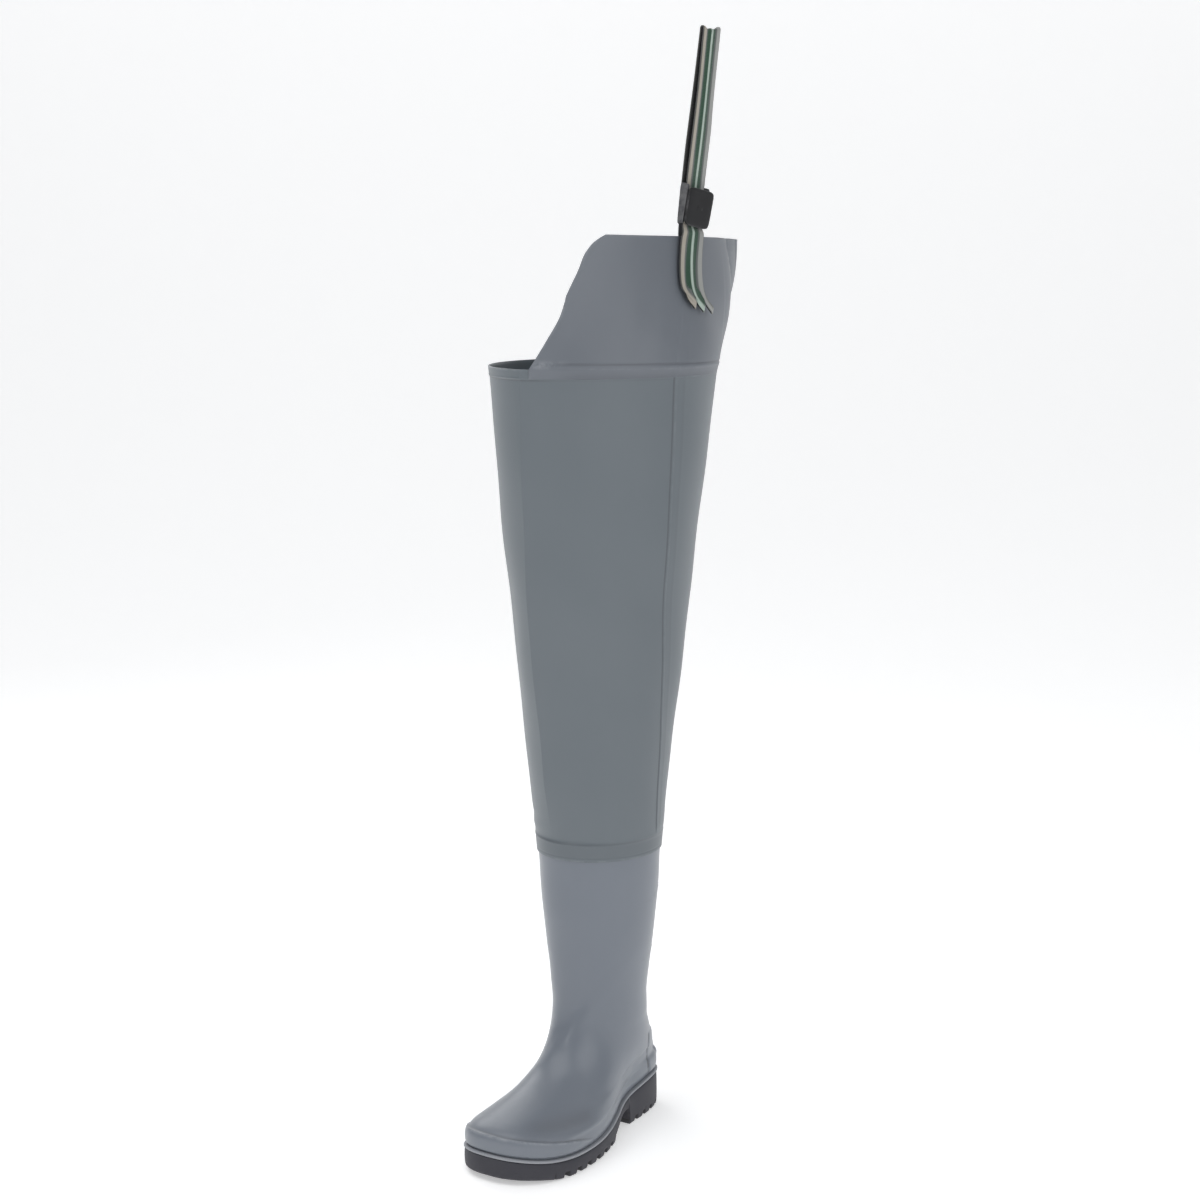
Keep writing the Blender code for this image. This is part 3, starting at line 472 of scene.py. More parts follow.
# %% Moulded and sheet plastic
def place_group(tree, group, **values):
    """A group node with its inputs fed; underscores in names are spaces."""
    made = node(tree, "ShaderNodeGroup", node_tree=group)
    for key, value in values.items():
        feed(tree, made.inputs[key.replace("_", " ")], value)
    return made


def mark_value(tree, name):
    """A mesh mark read as a number."""
    return node(tree, "ShaderNodeAttribute", attribute_name=name).outputs["Fac"]


def plastic_look(name, color, second, roughness, grain=900.0, depth=0.00006, slow=14.0,
                 worn=None, wear=0.5, groove_color=None, dust=0.10, dust_top=0.06,
                 rough_swing=0.10):
    """Satin plastic: two close tones mottled, grooves darker, edges lighter where worn and where a
    highlight is painted, dust low.
    """
    look = bpy.data.materials.new(name)
    look.use_nodes = True
    tree = look.node_tree
    shader = tree.nodes["Principled BSDF"]
    shader.inputs["IOR"].default_value = 1.52
    grain_node = place_group(tree, grain_group, Size=grain, Slow=slow, Slow_Share=0.5)
    tone = mix_color(tree, grain_node.outputs["Mask"], color, second)
    groove = mark_value(tree, "groove")
    if groove_color is not None:
        tone = mix_color(tree, groove, tone, groove_color)
    # The worn tone is also the colour of painted highlight lines where an edge mark stands for light.
    worn_and_lit_node = place_group(tree, wear_and_highlight_group, Color=tone, Worn_Color=worn or second,
                            Edge=mark_value(tree, "edge"), Amount=wear)
    dust_node = place_group(tree, dust_group, Color=worn_and_lit_node.outputs["Color"], Groove=groove,
                            Amount=dust, Top=dust_top)
    tree.links.new(dust_node.outputs["Color"], shader.inputs["Base Color"])
    swing = math_node(tree, "MULTIPLY", grain_node.outputs["Mask"], rough_swing)
    gloss = math_node(tree, "ADD", swing, roughness - rough_swing / 2)
    gloss = math_node(tree, "ADD", gloss, dust_node.outputs["Mask"], clamp=True)
    tree.links.new(gloss, shader.inputs["Roughness"])
    relief = node(tree, "ShaderNodeBump", Distance=depth)
    relief.inputs["Strength"].default_value = 1.0
    tree.links.new(grain_node.outputs["Height"], relief.inputs["Height"])
    tree.links.new(relief.outputs["Normal"], shader.inputs["Normal"])
    return look


boot_look = plastic_look("boot_pvc", (0.162, 0.183, 0.216), (0.192, 0.213, 0.246), 0.31,
                         grain=1500.0, depth=0.00003, slow=9.0, worn=(0.32, 0.34, 0.37),
                         wear=0.5, groove_color=(0.075, 0.08, 0.095), dust=0.10, dust_top=0.09)
sheet_look = plastic_look("leg_pvc", (0.126, 0.150, 0.168), (0.150, 0.172, 0.190), 0.40,
                          grain=1900.0, depth=0.00004, slow=6.0, worn=(0.27, 0.29, 0.31),
                          wear=0.6, groove_color=(0.07, 0.075, 0.085), dust=0.0)
flap_look = plastic_look("flap_pvc", (0.140, 0.156, 0.180), (0.168, 0.184, 0.208), 0.42,
                         grain=1900.0, depth=0.00004, slow=7.0, worn=(0.33, 0.35, 0.37),
                         wear=0.7, groove_color=(0.08, 0.085, 0.10), dust=0.0)
bead_look = plastic_look("welt_pvc", (0.24, 0.255, 0.285), (0.28, 0.295, 0.325), 0.40,
                         grain=1300.0, depth=0.00003, worn=(0.4, 0.41, 0.43), wear=0.4,
                         groove_color=(0.05, 0.055, 0.065), dust=0.2)
sole_look = plastic_look("sole_rubber", (0.028, 0.028, 0.038), (0.040, 0.040, 0.052), 0.56,
                         grain=700.0, depth=0.00008, slow=22.0, worn=(0.12, 0.12, 0.13),
                         wear=0.5, groove_color=(0.008, 0.008, 0.011), dust=0.07, dust_top=0.05)
tab_look = plastic_look("tab_sheet", (0.100, 0.108, 0.118), (0.115, 0.122, 0.132), 0.48,
                        grain=1700.0, depth=0.00004, worn=(0.2, 0.21, 0.22), wear=0.5, dust=0.0)
patch_look = plastic_look("dark_patch", (0.052, 0.057, 0.064), (0.066, 0.070, 0.078), 0.45,
                          grain=1700.0, depth=0.00004, worn=(0.14, 0.15, 0.16), wear=0.5, dust=0.0)
felt_look = plastic_look("insole_felt", (0.26, 0.26, 0.25), (0.34, 0.34, 0.33), 0.92,
                         grain=2600.0, depth=0.0004, slow=60.0, dust=0.0, rough_swing=0.04)
buckle_look = plastic_look("lever_plastic", (0.009, 0.009, 0.010), (0.014, 0.014, 0.016), 0.46,
                           grain=1400.0, depth=0.00005, slow=30.0, worn=(0.10, 0.10, 0.105),
                           wear=0.8, dust=0.0)
rail_look = plastic_look("frame_plastic", (0.045, 0.046, 0.050), (0.062, 0.063, 0.068), 0.40,
                         grain=1400.0, depth=0.00005, slow=30.0, worn=(0.14, 0.14, 0.145),
                         wear=0.8, dust=0.0)
rivet_look = plastic_look("rivet_metal", (0.72, 0.73, 0.74), (0.62, 0.63, 0.64), 0.28,
                          grain=900.0, depth=0.00003, slow=200.0, dust=0.0)
rivet_look.node_tree.nodes["Principled BSDF"].inputs["Metallic"].default_value = 0.85
for look, density in ((buckle_look, 1.38), (sole_look, 1.42)):
    look.node_tree.nodes["Principled BSDF"].inputs["IOR"].default_value = density
print("finishes", [m.name for m in bpy.data.materials])

# %% [markdown]
# ## The sole's own outline
# Everything in the foot hangs on one closed line: the edge of the sole seen from
# above. Its half widths are shares of the sole's width, one for the outer and one
# for the inner side, and a rounded end closes heel and toe. It could be drawn as a
# curve by hand, but as a formula welt, insole, outsole and boot all follow it.

# %% Sole outline and sizes
SOLE_LENGTH, SOLE_WIDTH, HEEL_BACK_Y = 0.304, 0.118, 0.044
HEEL_HEIGHT, TREAD_DEPTH = 0.0430, 0.0050
WELT_THICKNESS, WELT_OVERHANG, FIT_GAP = 0.0036, 0.0012, 0.0003
TOE_POWER, HEEL_POWER = 2.5, 3.3
OUTLINE = (
    # share of the length, outer half width, inner half width
    (0.00, 0.316, 0.308), (0.20, 0.314, 0.306), (0.27, 0.314, 0.296), (0.34, 0.339, 0.283),
    (0.42, 0.410, 0.272), (0.50, 0.480, 0.314), (0.60, 0.546, 0.394), (0.70, 0.588, 0.455),
    (0.80, 0.625, 0.530), (0.90, 0.645, 0.605), (1.00, 0.620, 0.660),
)
WELT_LINE = (
    # share of the length, height of the welt's top as a share of the heel height
    (0.00, 1.00), (0.15, 0.975), (0.28, 0.87), (0.42, 0.66), (0.55, 0.55),
    (0.66, 0.515), (0.80, 0.535), (0.92, 0.62), (1.00, 0.73),
)


def round_terms(angle, front_power, back_power):
    """Run along (1 front, -1 back) and fullness across at a turn."""
    c, s = np.cos(angle), np.sin(angle)
    power = np.where(c > 0, front_power, back_power)
    return np.sign(c) * np.abs(c) ** (2 / power), np.abs(s) ** (2 / power)


def half_width(share, outer):
    """Half width of the sole before its ends round off."""
    return np.where(outer, curve(OUTLINE, 1, share), curve(OUTLINE, 2, share)) * SOLE_WIDTH


def welt_top(share):
    """Height of the welt's top at a share of the length."""
    return curve(WELT_LINE, 1, share) * HEEL_HEIGHT


def sole_line(angle):
    """Plan points of the sole's edge and their shares from the heel."""
    along, across = round_terms(angle, TOE_POWER, HEEL_POWER)
    share = (1 + along) / 2
    outer = np.sin(angle) >= 0
    half = half_width(share, outer) * across
    return np.stack([np.where(outer, half, -half), HEEL_BACK_Y - share * SOLE_LENGTH], 1), share


def even_turns(line_at, count):
    """Turns whose points lie evenly round a closed plan line."""
    angle = np.linspace(0, 2 * math.pi, 4001)
    line = line_at(angle)[0]
    run = np.concatenate([[0], np.cumsum(np.linalg.norm(np.diff(line, axis=0), axis=1))])
    return np.interp(np.arange(count) * run[-1] / count, run, angle)


def grown(line, amount):
    """A closed plan line moved outward along its normals."""
    tangent = np.roll(line, -1, axis=0) - np.roll(line, 1, axis=0)
    normal = np.stack([-tangent[:, 1], tangent[:, 0]], axis=1)
    normal /= np.linalg.norm(normal, axis=1)[:, None]
    normal *= np.sign(np.sum(normal * (line - line.mean(axis=0))))
    return line + normal * np.broadcast_to(amount, len(line))[:, None]


def lifted(line, height):
    """A plan line at a height."""
    return np.column_stack([line, np.broadcast_to(height, len(line))])


edge_turns = even_turns(sole_line, 360)
edge_line, edge_share = sole_line(edge_turns)
print("sole", np.ptp(edge_line, axis=0).round(4))

# %% [markdown]
# ## Welt bead
# The welt is the pale bead that shows all round under the upper. On the real
# boot it is the lip of the moulded foot that the dark rubber is cast onto. A
# bevelled curve would pinch where the toe turns tightly, so a rounded profile is
# carried along the sole's edge by moving the whole line outward and down.

# %% Welt bead
def solid_rings(name, rings, look, marks=None):
    """Stacked closed rings with strips across both ends."""
    rings = np.asarray(rings)
    rows, cols = rings.shape[:2]
    quads, row, col = grid_quads(rows, cols, False, True)
    caps = end_caps(rows, cols)
    uv = np.stack([col / cols, row / rows], axis=2)
    uv = np.concatenate([uv, np.zeros((len(caps), 4, 2))])
    return make_piece(name, rings, np.concatenate([quads, caps]), uv, look, marks)


bead_profile = (
    # outward share of the bead, drop from its top as a share of its thickness
    (-1.1, 1.00), (-0.35, 0.97), (0.3, 0.86), (0.75, 0.68), (0.95, 0.50),
    (0.92, 0.32), (0.65, 0.14), (0.15, 0.03), (-0.6, 0.00), (-2.0, 0.02),
)
bead_rings = []
bead_edge = []
for out, drop in bead_profile:
    line = grown(edge_line, WELT_OVERHANG * out)
    bead_rings.append(lifted(line, welt_top(edge_share) - WELT_THICKNESS * drop))
    bead_edge.append(np.full(len(line), bump(drop, 0.45, 0.25)))
welt = solid_rings("welt_bead", bead_rings, bead_look, {"edge": np.array(bead_edge)})
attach(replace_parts(welt, "welt"), "root")

# %% [markdown]
# ## Felt insole
# Inside lies a soft felt plate whose edge rolls up a little against the wall. It
# shows only through the collar, so five lines of the sole's edge, each a little
# further in, are enough and no cushion needs to be modelled.

# %% Felt insole
WALL, FEATHER_INSET = 0.0024, 0.0030
felt_line = grown(edge_line, -(FEATHER_INSET + WALL + 2 * FIT_GAP))
felt_low = welt_top(edge_share) + FIT_GAP
felt_rings = [lifted(felt_line, felt_low + 0.0001), lifted(felt_line, felt_low + 0.0018),
              lifted(grown(felt_line, -0.0004), felt_low + 0.0026),
              lifted(grown(felt_line, -0.0014), felt_low + 0.0030),
              lifted(grown(felt_line, -0.0040), felt_low + 0.0029)]
insole = solid_rings("felt_insole", felt_rings, felt_look)
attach(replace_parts(insole, "insole"), "root")

# %% [markdown]
# ## Outsole with its lugs
# The dark rubber is one body: a smooth wall at the toe, then open notches along
# the edge from the ball to the waist, a thin arch and a heel block with four
# notches. Cutting the notches with booleans leaves ragged corners. Here a station
# along the foot carries a height for the underside, and a profile across the foot
# carries it from one wall, under the sole, to the other wall.

# %% Underside height along the foot
HEEL_LUGS, HEEL_LUG = (0.066, 0.124, 0.182, 0.240), 0.043
FORE_LUGS, FORE_LUG = (0.452, 0.514, 0.576, 0.638, 0.700, 0.762, 0.824), 0.042
BREAST = 0.285
UNDER = (
    # share of the length, height of the arch as a share of the heel height
    (0.289, 0.46), (0.340, 0.42), (0.385, 0.30), (0.425, 0.19), (0.450, 0.116),
)
TOE_UNDER = (
    # share of the length, height under the toe as a share of the heel height
    (0.800, 0.000), (0.850, 0.030), (0.900, 0.085), (0.940, 0.125), (0.965, 0.145),
    (0.985, 0.165), (1.000, 0.175),
)


def notch(share, fore_end):
    """How far into a notch a share lies: 0 on a lug, 1 between two lugs."""
    edge = 0.0018 / SOLE_LENGTH
    on_lug = np.zeros_like(share)
    for starts, length in ((HEEL_LUGS, HEEL_LUG), (FORE_LUGS, FORE_LUG)):
        for start in starts:
            on_lug = np.maximum(on_lug, rise(share, start - edge / 2, start + edge)
                                * rise(share, start + length + edge / 2, start + length - edge))
    flat_heel = rise(share, 0.0545, 0.0505)
    in_heel = (share < BREAST) & (share > 0.03)
    in_fore = (share > 0.44) & (share < fore_end)
    return np.where(in_heel | in_fore, 1 - np.maximum(on_lug, np.where(in_heel, flat_heel, 0)), 0.0)


def arch_height(share):
    """Height of the underside between the heel's breast and the first lug, and under the toe."""
    arch = curve(UNDER, 1, share) * HEEL_HEIGHT
    arch = arch * rise(share, BREAST - 0.001, BREAST + 0.0035) * (share < 0.4519)
    toe = curve(TOE_UNDER, 1, share) * HEEL_HEIGHT * (share > 0.80)
    back = 0.0030 * rise(share, 0.010, 0.0)
    return arch + toe + back


stations = np.unique(np.concatenate([
    (1 - np.cos(np.linspace(0, math.pi, 260))) / 2 * 0.9972 + 0.0014,
    *[start + np.linspace(-0.004, 0.009, 12) for start in (*HEEL_LUGS, *FORE_LUGS)],
    *[start + HEEL_LUG + np.linspace(-0.009, 0.004, 12) for start in HEEL_LUGS],
    *[start + FORE_LUG + np.linspace(-0.009, 0.004, 12) for start in FORE_LUGS],
]))
print("stations along the sole", len(stations))

# %% Outsole body
def outsole_grid(share):
    """Rows along the foot; columns run down the outer wall, under, and up the inner."""
    power = np.where(share > 0.5, TOE_POWER, HEEL_POWER)
    end = (1 - np.abs(2 * share - 1) ** power) ** (1 / power)
    outer = half_width(share, True) * end
    inner = half_width(share, False) * end
    top = welt_top(share) - WELT_THICKNESS - FIT_GAP
    arch = arch_height(share)
    columns = []
    upper_wall = ((-0.75, 1.0), (-0.25, 0.96), (0.05, 0.88), (0.30, 0.66), (0.45, 0.40), (0.50, 0.18),
                  (0.42, 0.0))
    lug_wall = ((0.32, 0.80), (0.18, 0.55), (-0.05, 0.32), (-0.40, 0.14), (-0.85, 0.04), (-1.6, 0.0))
    across = (0.93, 0.80, 0.62, 0.44, 0.27, 0.17, 0.135, 0.10)
    tuck = 0.0015 * end
    zone = 0.0075
    for half, sign, fore_end in ((outer, 1.0, 0.868), (inner, -1.0, 0.790)):
        cut = notch(share, fore_end)
        side = []
        for out, high in upper_wall:
            z = arch + zone + (top - arch - zone) * high
            side.append((sign * (half + tuck * out), z, 0 * z, 0 * z))
        for out, high in lug_wall:
            z = arch + TREAD_DEPTH * cut + (zone - TREAD_DEPTH * cut) * high
            pull = 0.0012 * cut * rise(high, 1.0, 0.5)
            worn = bump(high, 0.08, 0.10) * (1 - cut)
            side.append((sign * (half + tuck * out - pull), z, worn, cut * rise(high, 1.0, 0.6)))
        for reach in across:
            middle_line = rise(reach, 0.16, 0.11) * (share > BREAST) * rise(share, 0.93, 0.89)
            channel = middle_line * (0.0050 * (1 - cut) + 0.0008)
            z = arch + TREAD_DEPTH * cut * (1 + 0.10 * np.cos(reach * 9.0)) + channel
            side.append((sign * (half - 1.6 * tuck) * reach, z, np.zeros_like(z), cut + middle_line))
        columns.append(side)
    order = columns[0] + columns[1][::-1]
    x = np.stack([c[0] for c in order], axis=1)
    z = np.stack([c[1] for c in order], axis=1)
    y = np.repeat((HEEL_BACK_Y - share * SOLE_LENGTH)[:, None], len(order), axis=1)
    marks = {"edge": np.stack([c[2] for c in order], axis=1),
             "groove": np.clip(np.stack([c[3] for c in order], axis=1), 0, 1)}
    return np.stack([x, y, z], axis=2), marks


tread_grid, tread_marks = outsole_grid(stations)
outsole = solid_rings("lugged_outsole", tread_grid, sole_look, tread_marks)
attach(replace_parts(outsole, "outsole"), "root")
print("outsole box", tread_grid.reshape(-1, 3).min(0).round(4), tread_grid.reshape(-1, 3).max(0).round(4))

# %% [markdown]
# ## Boot upper as a stack of rings
# A moulded boot has no seams, so one surface fits it: closed rings that start as
# the sole's outline, tilt up along the instep and end as the level rim of the
# shaft. Each row of the table gives where a ring touches the front and the back
# and how wide it is; cubics through the rings make the skin between them.

# %% Control rings of the upper
BOOT_TOP, RAND_HEIGHT = 0.338, 0.0145
RAND_STEP, PANEL_STEP, SPUR_STEP = 0.0015, 0.0009, 0.0030
LEG_LOW, SHAFT_FLARE = BOOT_TOP - 0.018, 0.08
SHAFT_WIDE, SHAFT_DEEP = 0.551 * SOLE_WIDTH, 0.242 * SOLE_LENGTH
SHAFT_Y = HEEL_BACK_Y - 0.3066 * SOLE_LENGTH
UPPER_RINGS = (
    # front run, front rise, back run, back rise, outer, inner, follow, fullness
    (0.976, 0.018, 0.007, 0.025, 0.380, 0.372, 0.96, 2.45),
    (0.939, 0.035, 0.009, 0.046, 0.380, 0.372, 0.88, 2.40),
    (0.879, 0.053, 0.014, 0.070, 0.380, 0.372, 0.76, 2.34),
    (0.801, 0.075, 0.016, 0.077, 0.380, 0.372, 0.60, 2.28),
    (0.713, 0.105, 0.028, 0.116, 0.380, 0.372, 0.42, 2.22),
    (0.633, 0.147, 0.046, 0.150, 0.377, 0.369, 0.25, 2.16),
    (0.577, 0.202, 0.062, 0.185, 0.373, 0.365, 0.11, 2.12),
    (0.541, 0.267, 0.077, 0.226, 0.373, 0.365, 0.03, 2.10),
    (0.523, 0.344, 0.086, 0.278, 0.377, 0.369, 0.00, 2.08),
    (0.518, 0.415, 0.090, 0.344, 0.390, 0.386, 0.00, 2.06),
    (0.521, 0.493, 0.088, 0.430, 0.420, 0.415, 0.00, 2.05),
    (0.528, 0.582, 0.082, 0.533, 0.458, 0.453, 0.00, 2.04),
    (0.535, 0.692, 0.075, 0.665, 0.496, 0.491, 0.00, 2.03),
    (0.542, 0.819, 0.069, 0.811, 0.530, 0.525, 0.00, 2.02),
)
BOOT_COLUMNS = 264
plain_turns = np.arange(BOOT_COLUMNS) * 2 * math.pi / BOOT_COLUMNS
boot_turns = (even_turns(sole_line, BOOT_COLUMNS) + plain_turns) / 2


def shaft_ring(angle, z):
    """Level oval near the boot's top, a little wider as it rises."""
    along, across = round_terms(angle, 2.0, 2.0)
    widen = (z - LEG_LOW) * SHAFT_FLARE
    half = (SHAFT_WIDE + widen) * across * np.sign(np.sin(angle))
    return np.column_stack([half, SHAFT_Y - (SHAFT_DEEP + widen) * along, np.full(len(angle), z)])


def upper_control_rings(angle):
    """Two rings at the feather and rand, the table's rings, two rings of the shaft."""
    line, share = sole_line(angle)
    low = welt_top(share) + FIT_GAP
    rings = [lifted(grown(line, -FEATHER_INSET), low),
             lifted(grown(line, -FEATHER_INSET * 0.60), low + RAND_HEIGHT * 0.5),
             lifted(grown(line, -FEATHER_INSET * 0.75), low + RAND_HEIGHT * 1.055)]
    front_low = float(welt_top(1.0)) + RAND_HEIGHT
    back_low = float(welt_top(0.0)) + RAND_HEIGHT
    for front_run, front_rise, back_run, back_rise, outer, inner, follow, power in UPPER_RINGS:
        along, across = round_terms(angle, power, power)
        forward = (1 + along) / 2
        run = back_run + (front_run - back_run) * forward
        side = np.sin(angle) >= 0
        own = np.where(side, outer, inner) * SOLE_WIDTH
        half = (follow * half_width(run, side) + (1 - follow) * own) * across
        chord = welt_top(0.0) + (welt_top(1.0) - welt_top(0.0)) * forward
        front_z = front_low + front_rise * (BOOT_TOP - front_low)
        back_z = back_low + back_rise * (BOOT_TOP - back_low)
        z = back_z + (front_z - back_z) * forward + follow * (welt_top(forward) - chord)
        rings.append(np.column_stack([np.where(side, half, -half), HEEL_BACK_Y - run * SOLE_LENGTH, z]))
    return np.array(rings + [shaft_ring(angle, LEG_LOW), shaft_ring(angle, BOOT_TOP)])


rows_up = np.concatenate([np.linspace(0, 0.060, 46, endpoint=False), np.linspace(0.060, 1, 168)])
boot_skin = through_rings(upper_control_rings(boot_turns), rows_up)
print("boot skin", boot_skin.shape)

# %% [markdown]
# ## Steps, ridges and creases on the boot
# The mould leaves its own relief: a rand that wraps the toe, a panel and a kick
# spur at the heel, two thin trim lines round the back of the shaft. Use adds the
# rest: a soft trough across the ankle and a slack dent in the vamp. A bump in the
# material would leave the outline smooth, so each is a layer of height that is
# added along the skin's own normal, with marks that colour its grooves and edges.

# %% Relief of the boot
RAND_LINE = (
    # share of the sole's length, height of the rand's top line over the welt in metres
    (0.600, 0.0040), (0.660, 0.0062), (0.740, 0.0125), (0.825, 0.0166), (0.925, 0.0192),
    (1.000, 0.0196),
)


def toe_rand(share, over):
    """A band up to the rand's line, fading in from the ball; groove above its edge, and a lighter lip that
    is wear and painted highlight.
    """
    fore = rise(share, 0.60, 0.76)
    line = curve(RAND_LINE, 1, share)
    band = rise(over, 0.0022, 0.0036) * rise(over, line + 0.0006, line - 0.0005)
    # The edge mark lightens the band's top lip: rubbed wear there, and a painted highlight along the rand's
    # line.
    return (RAND_STEP * fore * band, 0.5 * fore * bump(over, line + 0.0009, 0.0008),
            fore * bump(over, line - 0.0010, 0.0012))


def heel_panel(z, share, over):
    """A plate behind a slanted line, doubled at its foot; groove in front of the line."""
    line = 0.124 + 0.30 * (z - 0.055)
    below = rise(z, 0.0960, 0.0925)
    plate = rise(share, line + 0.005, line) * below * rise(over, 0.0022, 0.0036)
    return (PANEL_STEP * plate * (1 + 0.8 * rise(z, 0.064, 0.056)),
            0.9 * bump(share, line + 0.006, 0.0030) * below * (over > 0.002),
            0.7 * bump(share, line - 0.003, 0.0025) * below * (over > 0.003))


def kick_spur(z, behind):
    """A wedge at the back that steps out at its ledge and grows downward."""
    grown_out = 0.42 + 0.58 * rise(z, 0.0790, 0.0620)
    wedge = rise(behind, 23.0, 13.0) * rise(z, 0.0806, 0.0792) * rise(z, 0.0500, 0.0590)
    return (SPUR_STEP * wedge * grown_out, 0.7 * bump(z, 0.0812, 0.0008) * (behind < 20.0),
            bump(z, 0.0790, 0.0010) * rise(behind, 22.0, 14.0))


def trim_line(z, behind, back_z, drop, strong):
    """A thin ridge with a groove under it that climbs towards the back."""
    line = back_z - drop * rise(behind, 0.0, 85.0)
    fade = rise(behind, 96.0, 60.0) * strong
    ridge = 0.00055 * bump(z, line, 0.0009) - 0.00030 * bump(z, line - 0.0019, 0.0009)
    return fade * ridge, 0.55 * fade * bump(z, line - 0.0017, 0.0008), 0 * z


def soft_creases(z, share, over, before, behind):
    """Ankle roll and trough, folds behind it, the vamp's dent darkened with painted shade, toe rolls, slow
    unevenness.
    """
    roll_z = 0.114 + 0.00105 * before
    height = bump(before, 14.0, 40.0) * (0.0008 * bump(z, roll_z, 0.0105)
                                         - 0.0009 * bump(z, roll_z + 0.022, 0.0120))
    height += 0.0009 * bump(before, -25.0, 40.0) * bump(z, 0.172, 0.013)
    height -= bump(behind, 0.0, 70.0) * (0.0010 * bump(z, 0.118, 0.008) + 0.0007 * bump(z, 0.150, 0.010))
    outer_side = rise(before, 12.0, 34.0) * rise(before, 96.0, 74.0)
    dent = outer_side * bump(over, 0.0320, 0.0068) * rise(share, 0.60, 0.68)
    height -= 0.0017 * dent
    height += 0.0006 * bump(over, 0.0245, 0.0035) * rise(share, 0.66, 0.76)
    height += 0.0008 * bump(before, -14.0, 20.0) * bump(over, 0.0290, 0.0060) * rise(share, 0.86, 0.92)
    slow_wave = np.sin(z * 71.0 + 1.3) * np.sin(np.radians(before) * 2 + z * 9.0)
    # Painted shade: the dent's groove mark darkens the vamp's dent, standing in for the dark reflection its
    # glossy face shows.
    return height + 0.0004 * slow_wave * rise(z, 0.12, 0.2), 0.30 * dent, 0 * z


def layered(layers):
    """Sum of the layers' heights; the largest of their groove and edge marks, from 0 to 1."""
    height, groove, edge = zip(*layers)
    marks = [np.clip(np.max(np.broadcast_arrays(*mark), axis=0), 0, 1) for mark in (groove, edge)]
    return sum(height), marks[0], marks[1]


def boot_relief(skin, angle):
    """The boot's layers over its skin, from heights, shares of the sole and turns."""
    y, z = skin[:, :, 1], skin[:, :, 2]
    share = np.clip((HEEL_BACK_Y - y) / SOLE_LENGTH, 0, 1)
    over = z - welt_top(share)
    behind = np.abs(off_angle(angle, 180.0))[None, :]
    before = off_angle(angle, 0.0)[None, :]
    return layered([toe_rand(share, over), heel_panel(z, share, over), kick_spur(z, behind),
                    trim_line(z, behind, 0.286, 0.020, 1.0), trim_line(z, behind, 0.212, 0.017, 0.8),
                    soft_creases(z, share, over, before, behind)])


boot_height, boot_groove, boot_edge = boot_relief(boot_skin, boot_turns)
print("relief from", round(boot_height.min() * 1000, 2), "to", round(boot_height.max() * 1000, 2), "mm")

# %% Wall of the boot
boot_out = boot_skin + ring_normals(boot_skin) * boot_height[:, :, None]
boot_in = (boot_skin - ring_normals(boot_skin) * WALL)[::3]
boot_marks = {"groove": boot_groove, "edge": boot_edge}
boot = shell_piece("moulded_boot", boot_out, boot_in, boot_look, boot_marks, 0.05)
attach(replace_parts(boot, "boot_upper"), "root")

# %% [markdown]
# ## Leg sheet
# The leg is a flat cut of thin PVC, closed by one overlapped weld on the outer
# side and stored pressed flat, which leaves a crease down the front and another
# down the back. So its section isn't an oval but a lens: the radius rises to a
# soft peak at both creases. A cloth simulation would give it loose folds that a
# pressed sheet doesn't have. Its foot is welded over the boot's top.

# %% Leg sizes and turns
COLLAR, COLLAR_WIDE, COLLAR_DEEP, COLLAR_Y = 0.852, 0.1140, 0.1385, -0.0405
LEG_WALL, HEM_HEIGHT, HEM_STEP, SEAM_STEP = 0.0012, 0.010, 0.0006, 0.0007
LEG_TURN = math.radians(8.0)
LEG_SHARES = (
    # height, across, deep, centre, fullness: from the shaft's size (0) to the collar's (1)
    (0.01, 0.08, 0.02, -0.03, 2.00), (0.06, 0.12, 0.06, -0.15, 1.99), (0.24, 0.29, 0.24, -0.09, 1.97),
    (0.50, 0.53, 0.50, 0.14, 1.94), (0.75, 0.77, 0.75, 0.54, 1.91), (1.00, 1.00, 1.00, 1.00, 1.88),
)
SEAM_FROM, SEAM_TO = 84.0, 132.0
leg_turns = np.unique(np.concatenate([
    np.linspace(0, 360, 250, endpoint=False),
    SEAM_FROM + np.linspace(-3.0, 4.0, 15), SEAM_TO + np.linspace(-3.0, 2.0, 9),
    np.linspace(0.2, 5.0, 9), 360 - np.linspace(0.2, 5.0, 9), 180 + np.linspace(-5.0, 5.0, 17),
]).round(3))
leg_z = np.concatenate([np.linspace(LEG_LOW, 0.3265, 14), np.linspace(0.3275, 0.346, 24),
                        np.linspace(0.349, 0.838, 168), np.linspace(0.8395, COLLAR, 18)])


def leg_angles(z, turns):
    """Columns lean with height: the front crease and the outer weld aren't quite upright."""
    z = z[:, None]
    crease = -11.5 + 35.8 * (z - 0.329)
    weld = 98.0 - 28.2 * (z - 0.335) - SEAM_FROM
    lean = np.where(turns < SEAM_FROM, crease + (weld - crease) * rise(turns, 6.0, SEAM_FROM - 6.0), weld)
    lean = np.where(turns > SEAM_TO, weld * rise(turns, 178.0, SEAM_TO + 4.0), lean)
    lean = np.where(turns > 182.0, crease * rise(turns, 200.0, 354.0), lean)
    return np.radians(turns + lean)


leg_angle = leg_angles(leg_z, leg_turns)
print("leg grid", leg_angle.shape)

# %% [markdown]
# ## Leg surface
# The plain tube comes first, so that its creases and its turn can be judged alone.
# A loft between two ovals would bulge where the leg leaves the boot, so a table
# says how far each height has gone from the shaft's size to the collar's.

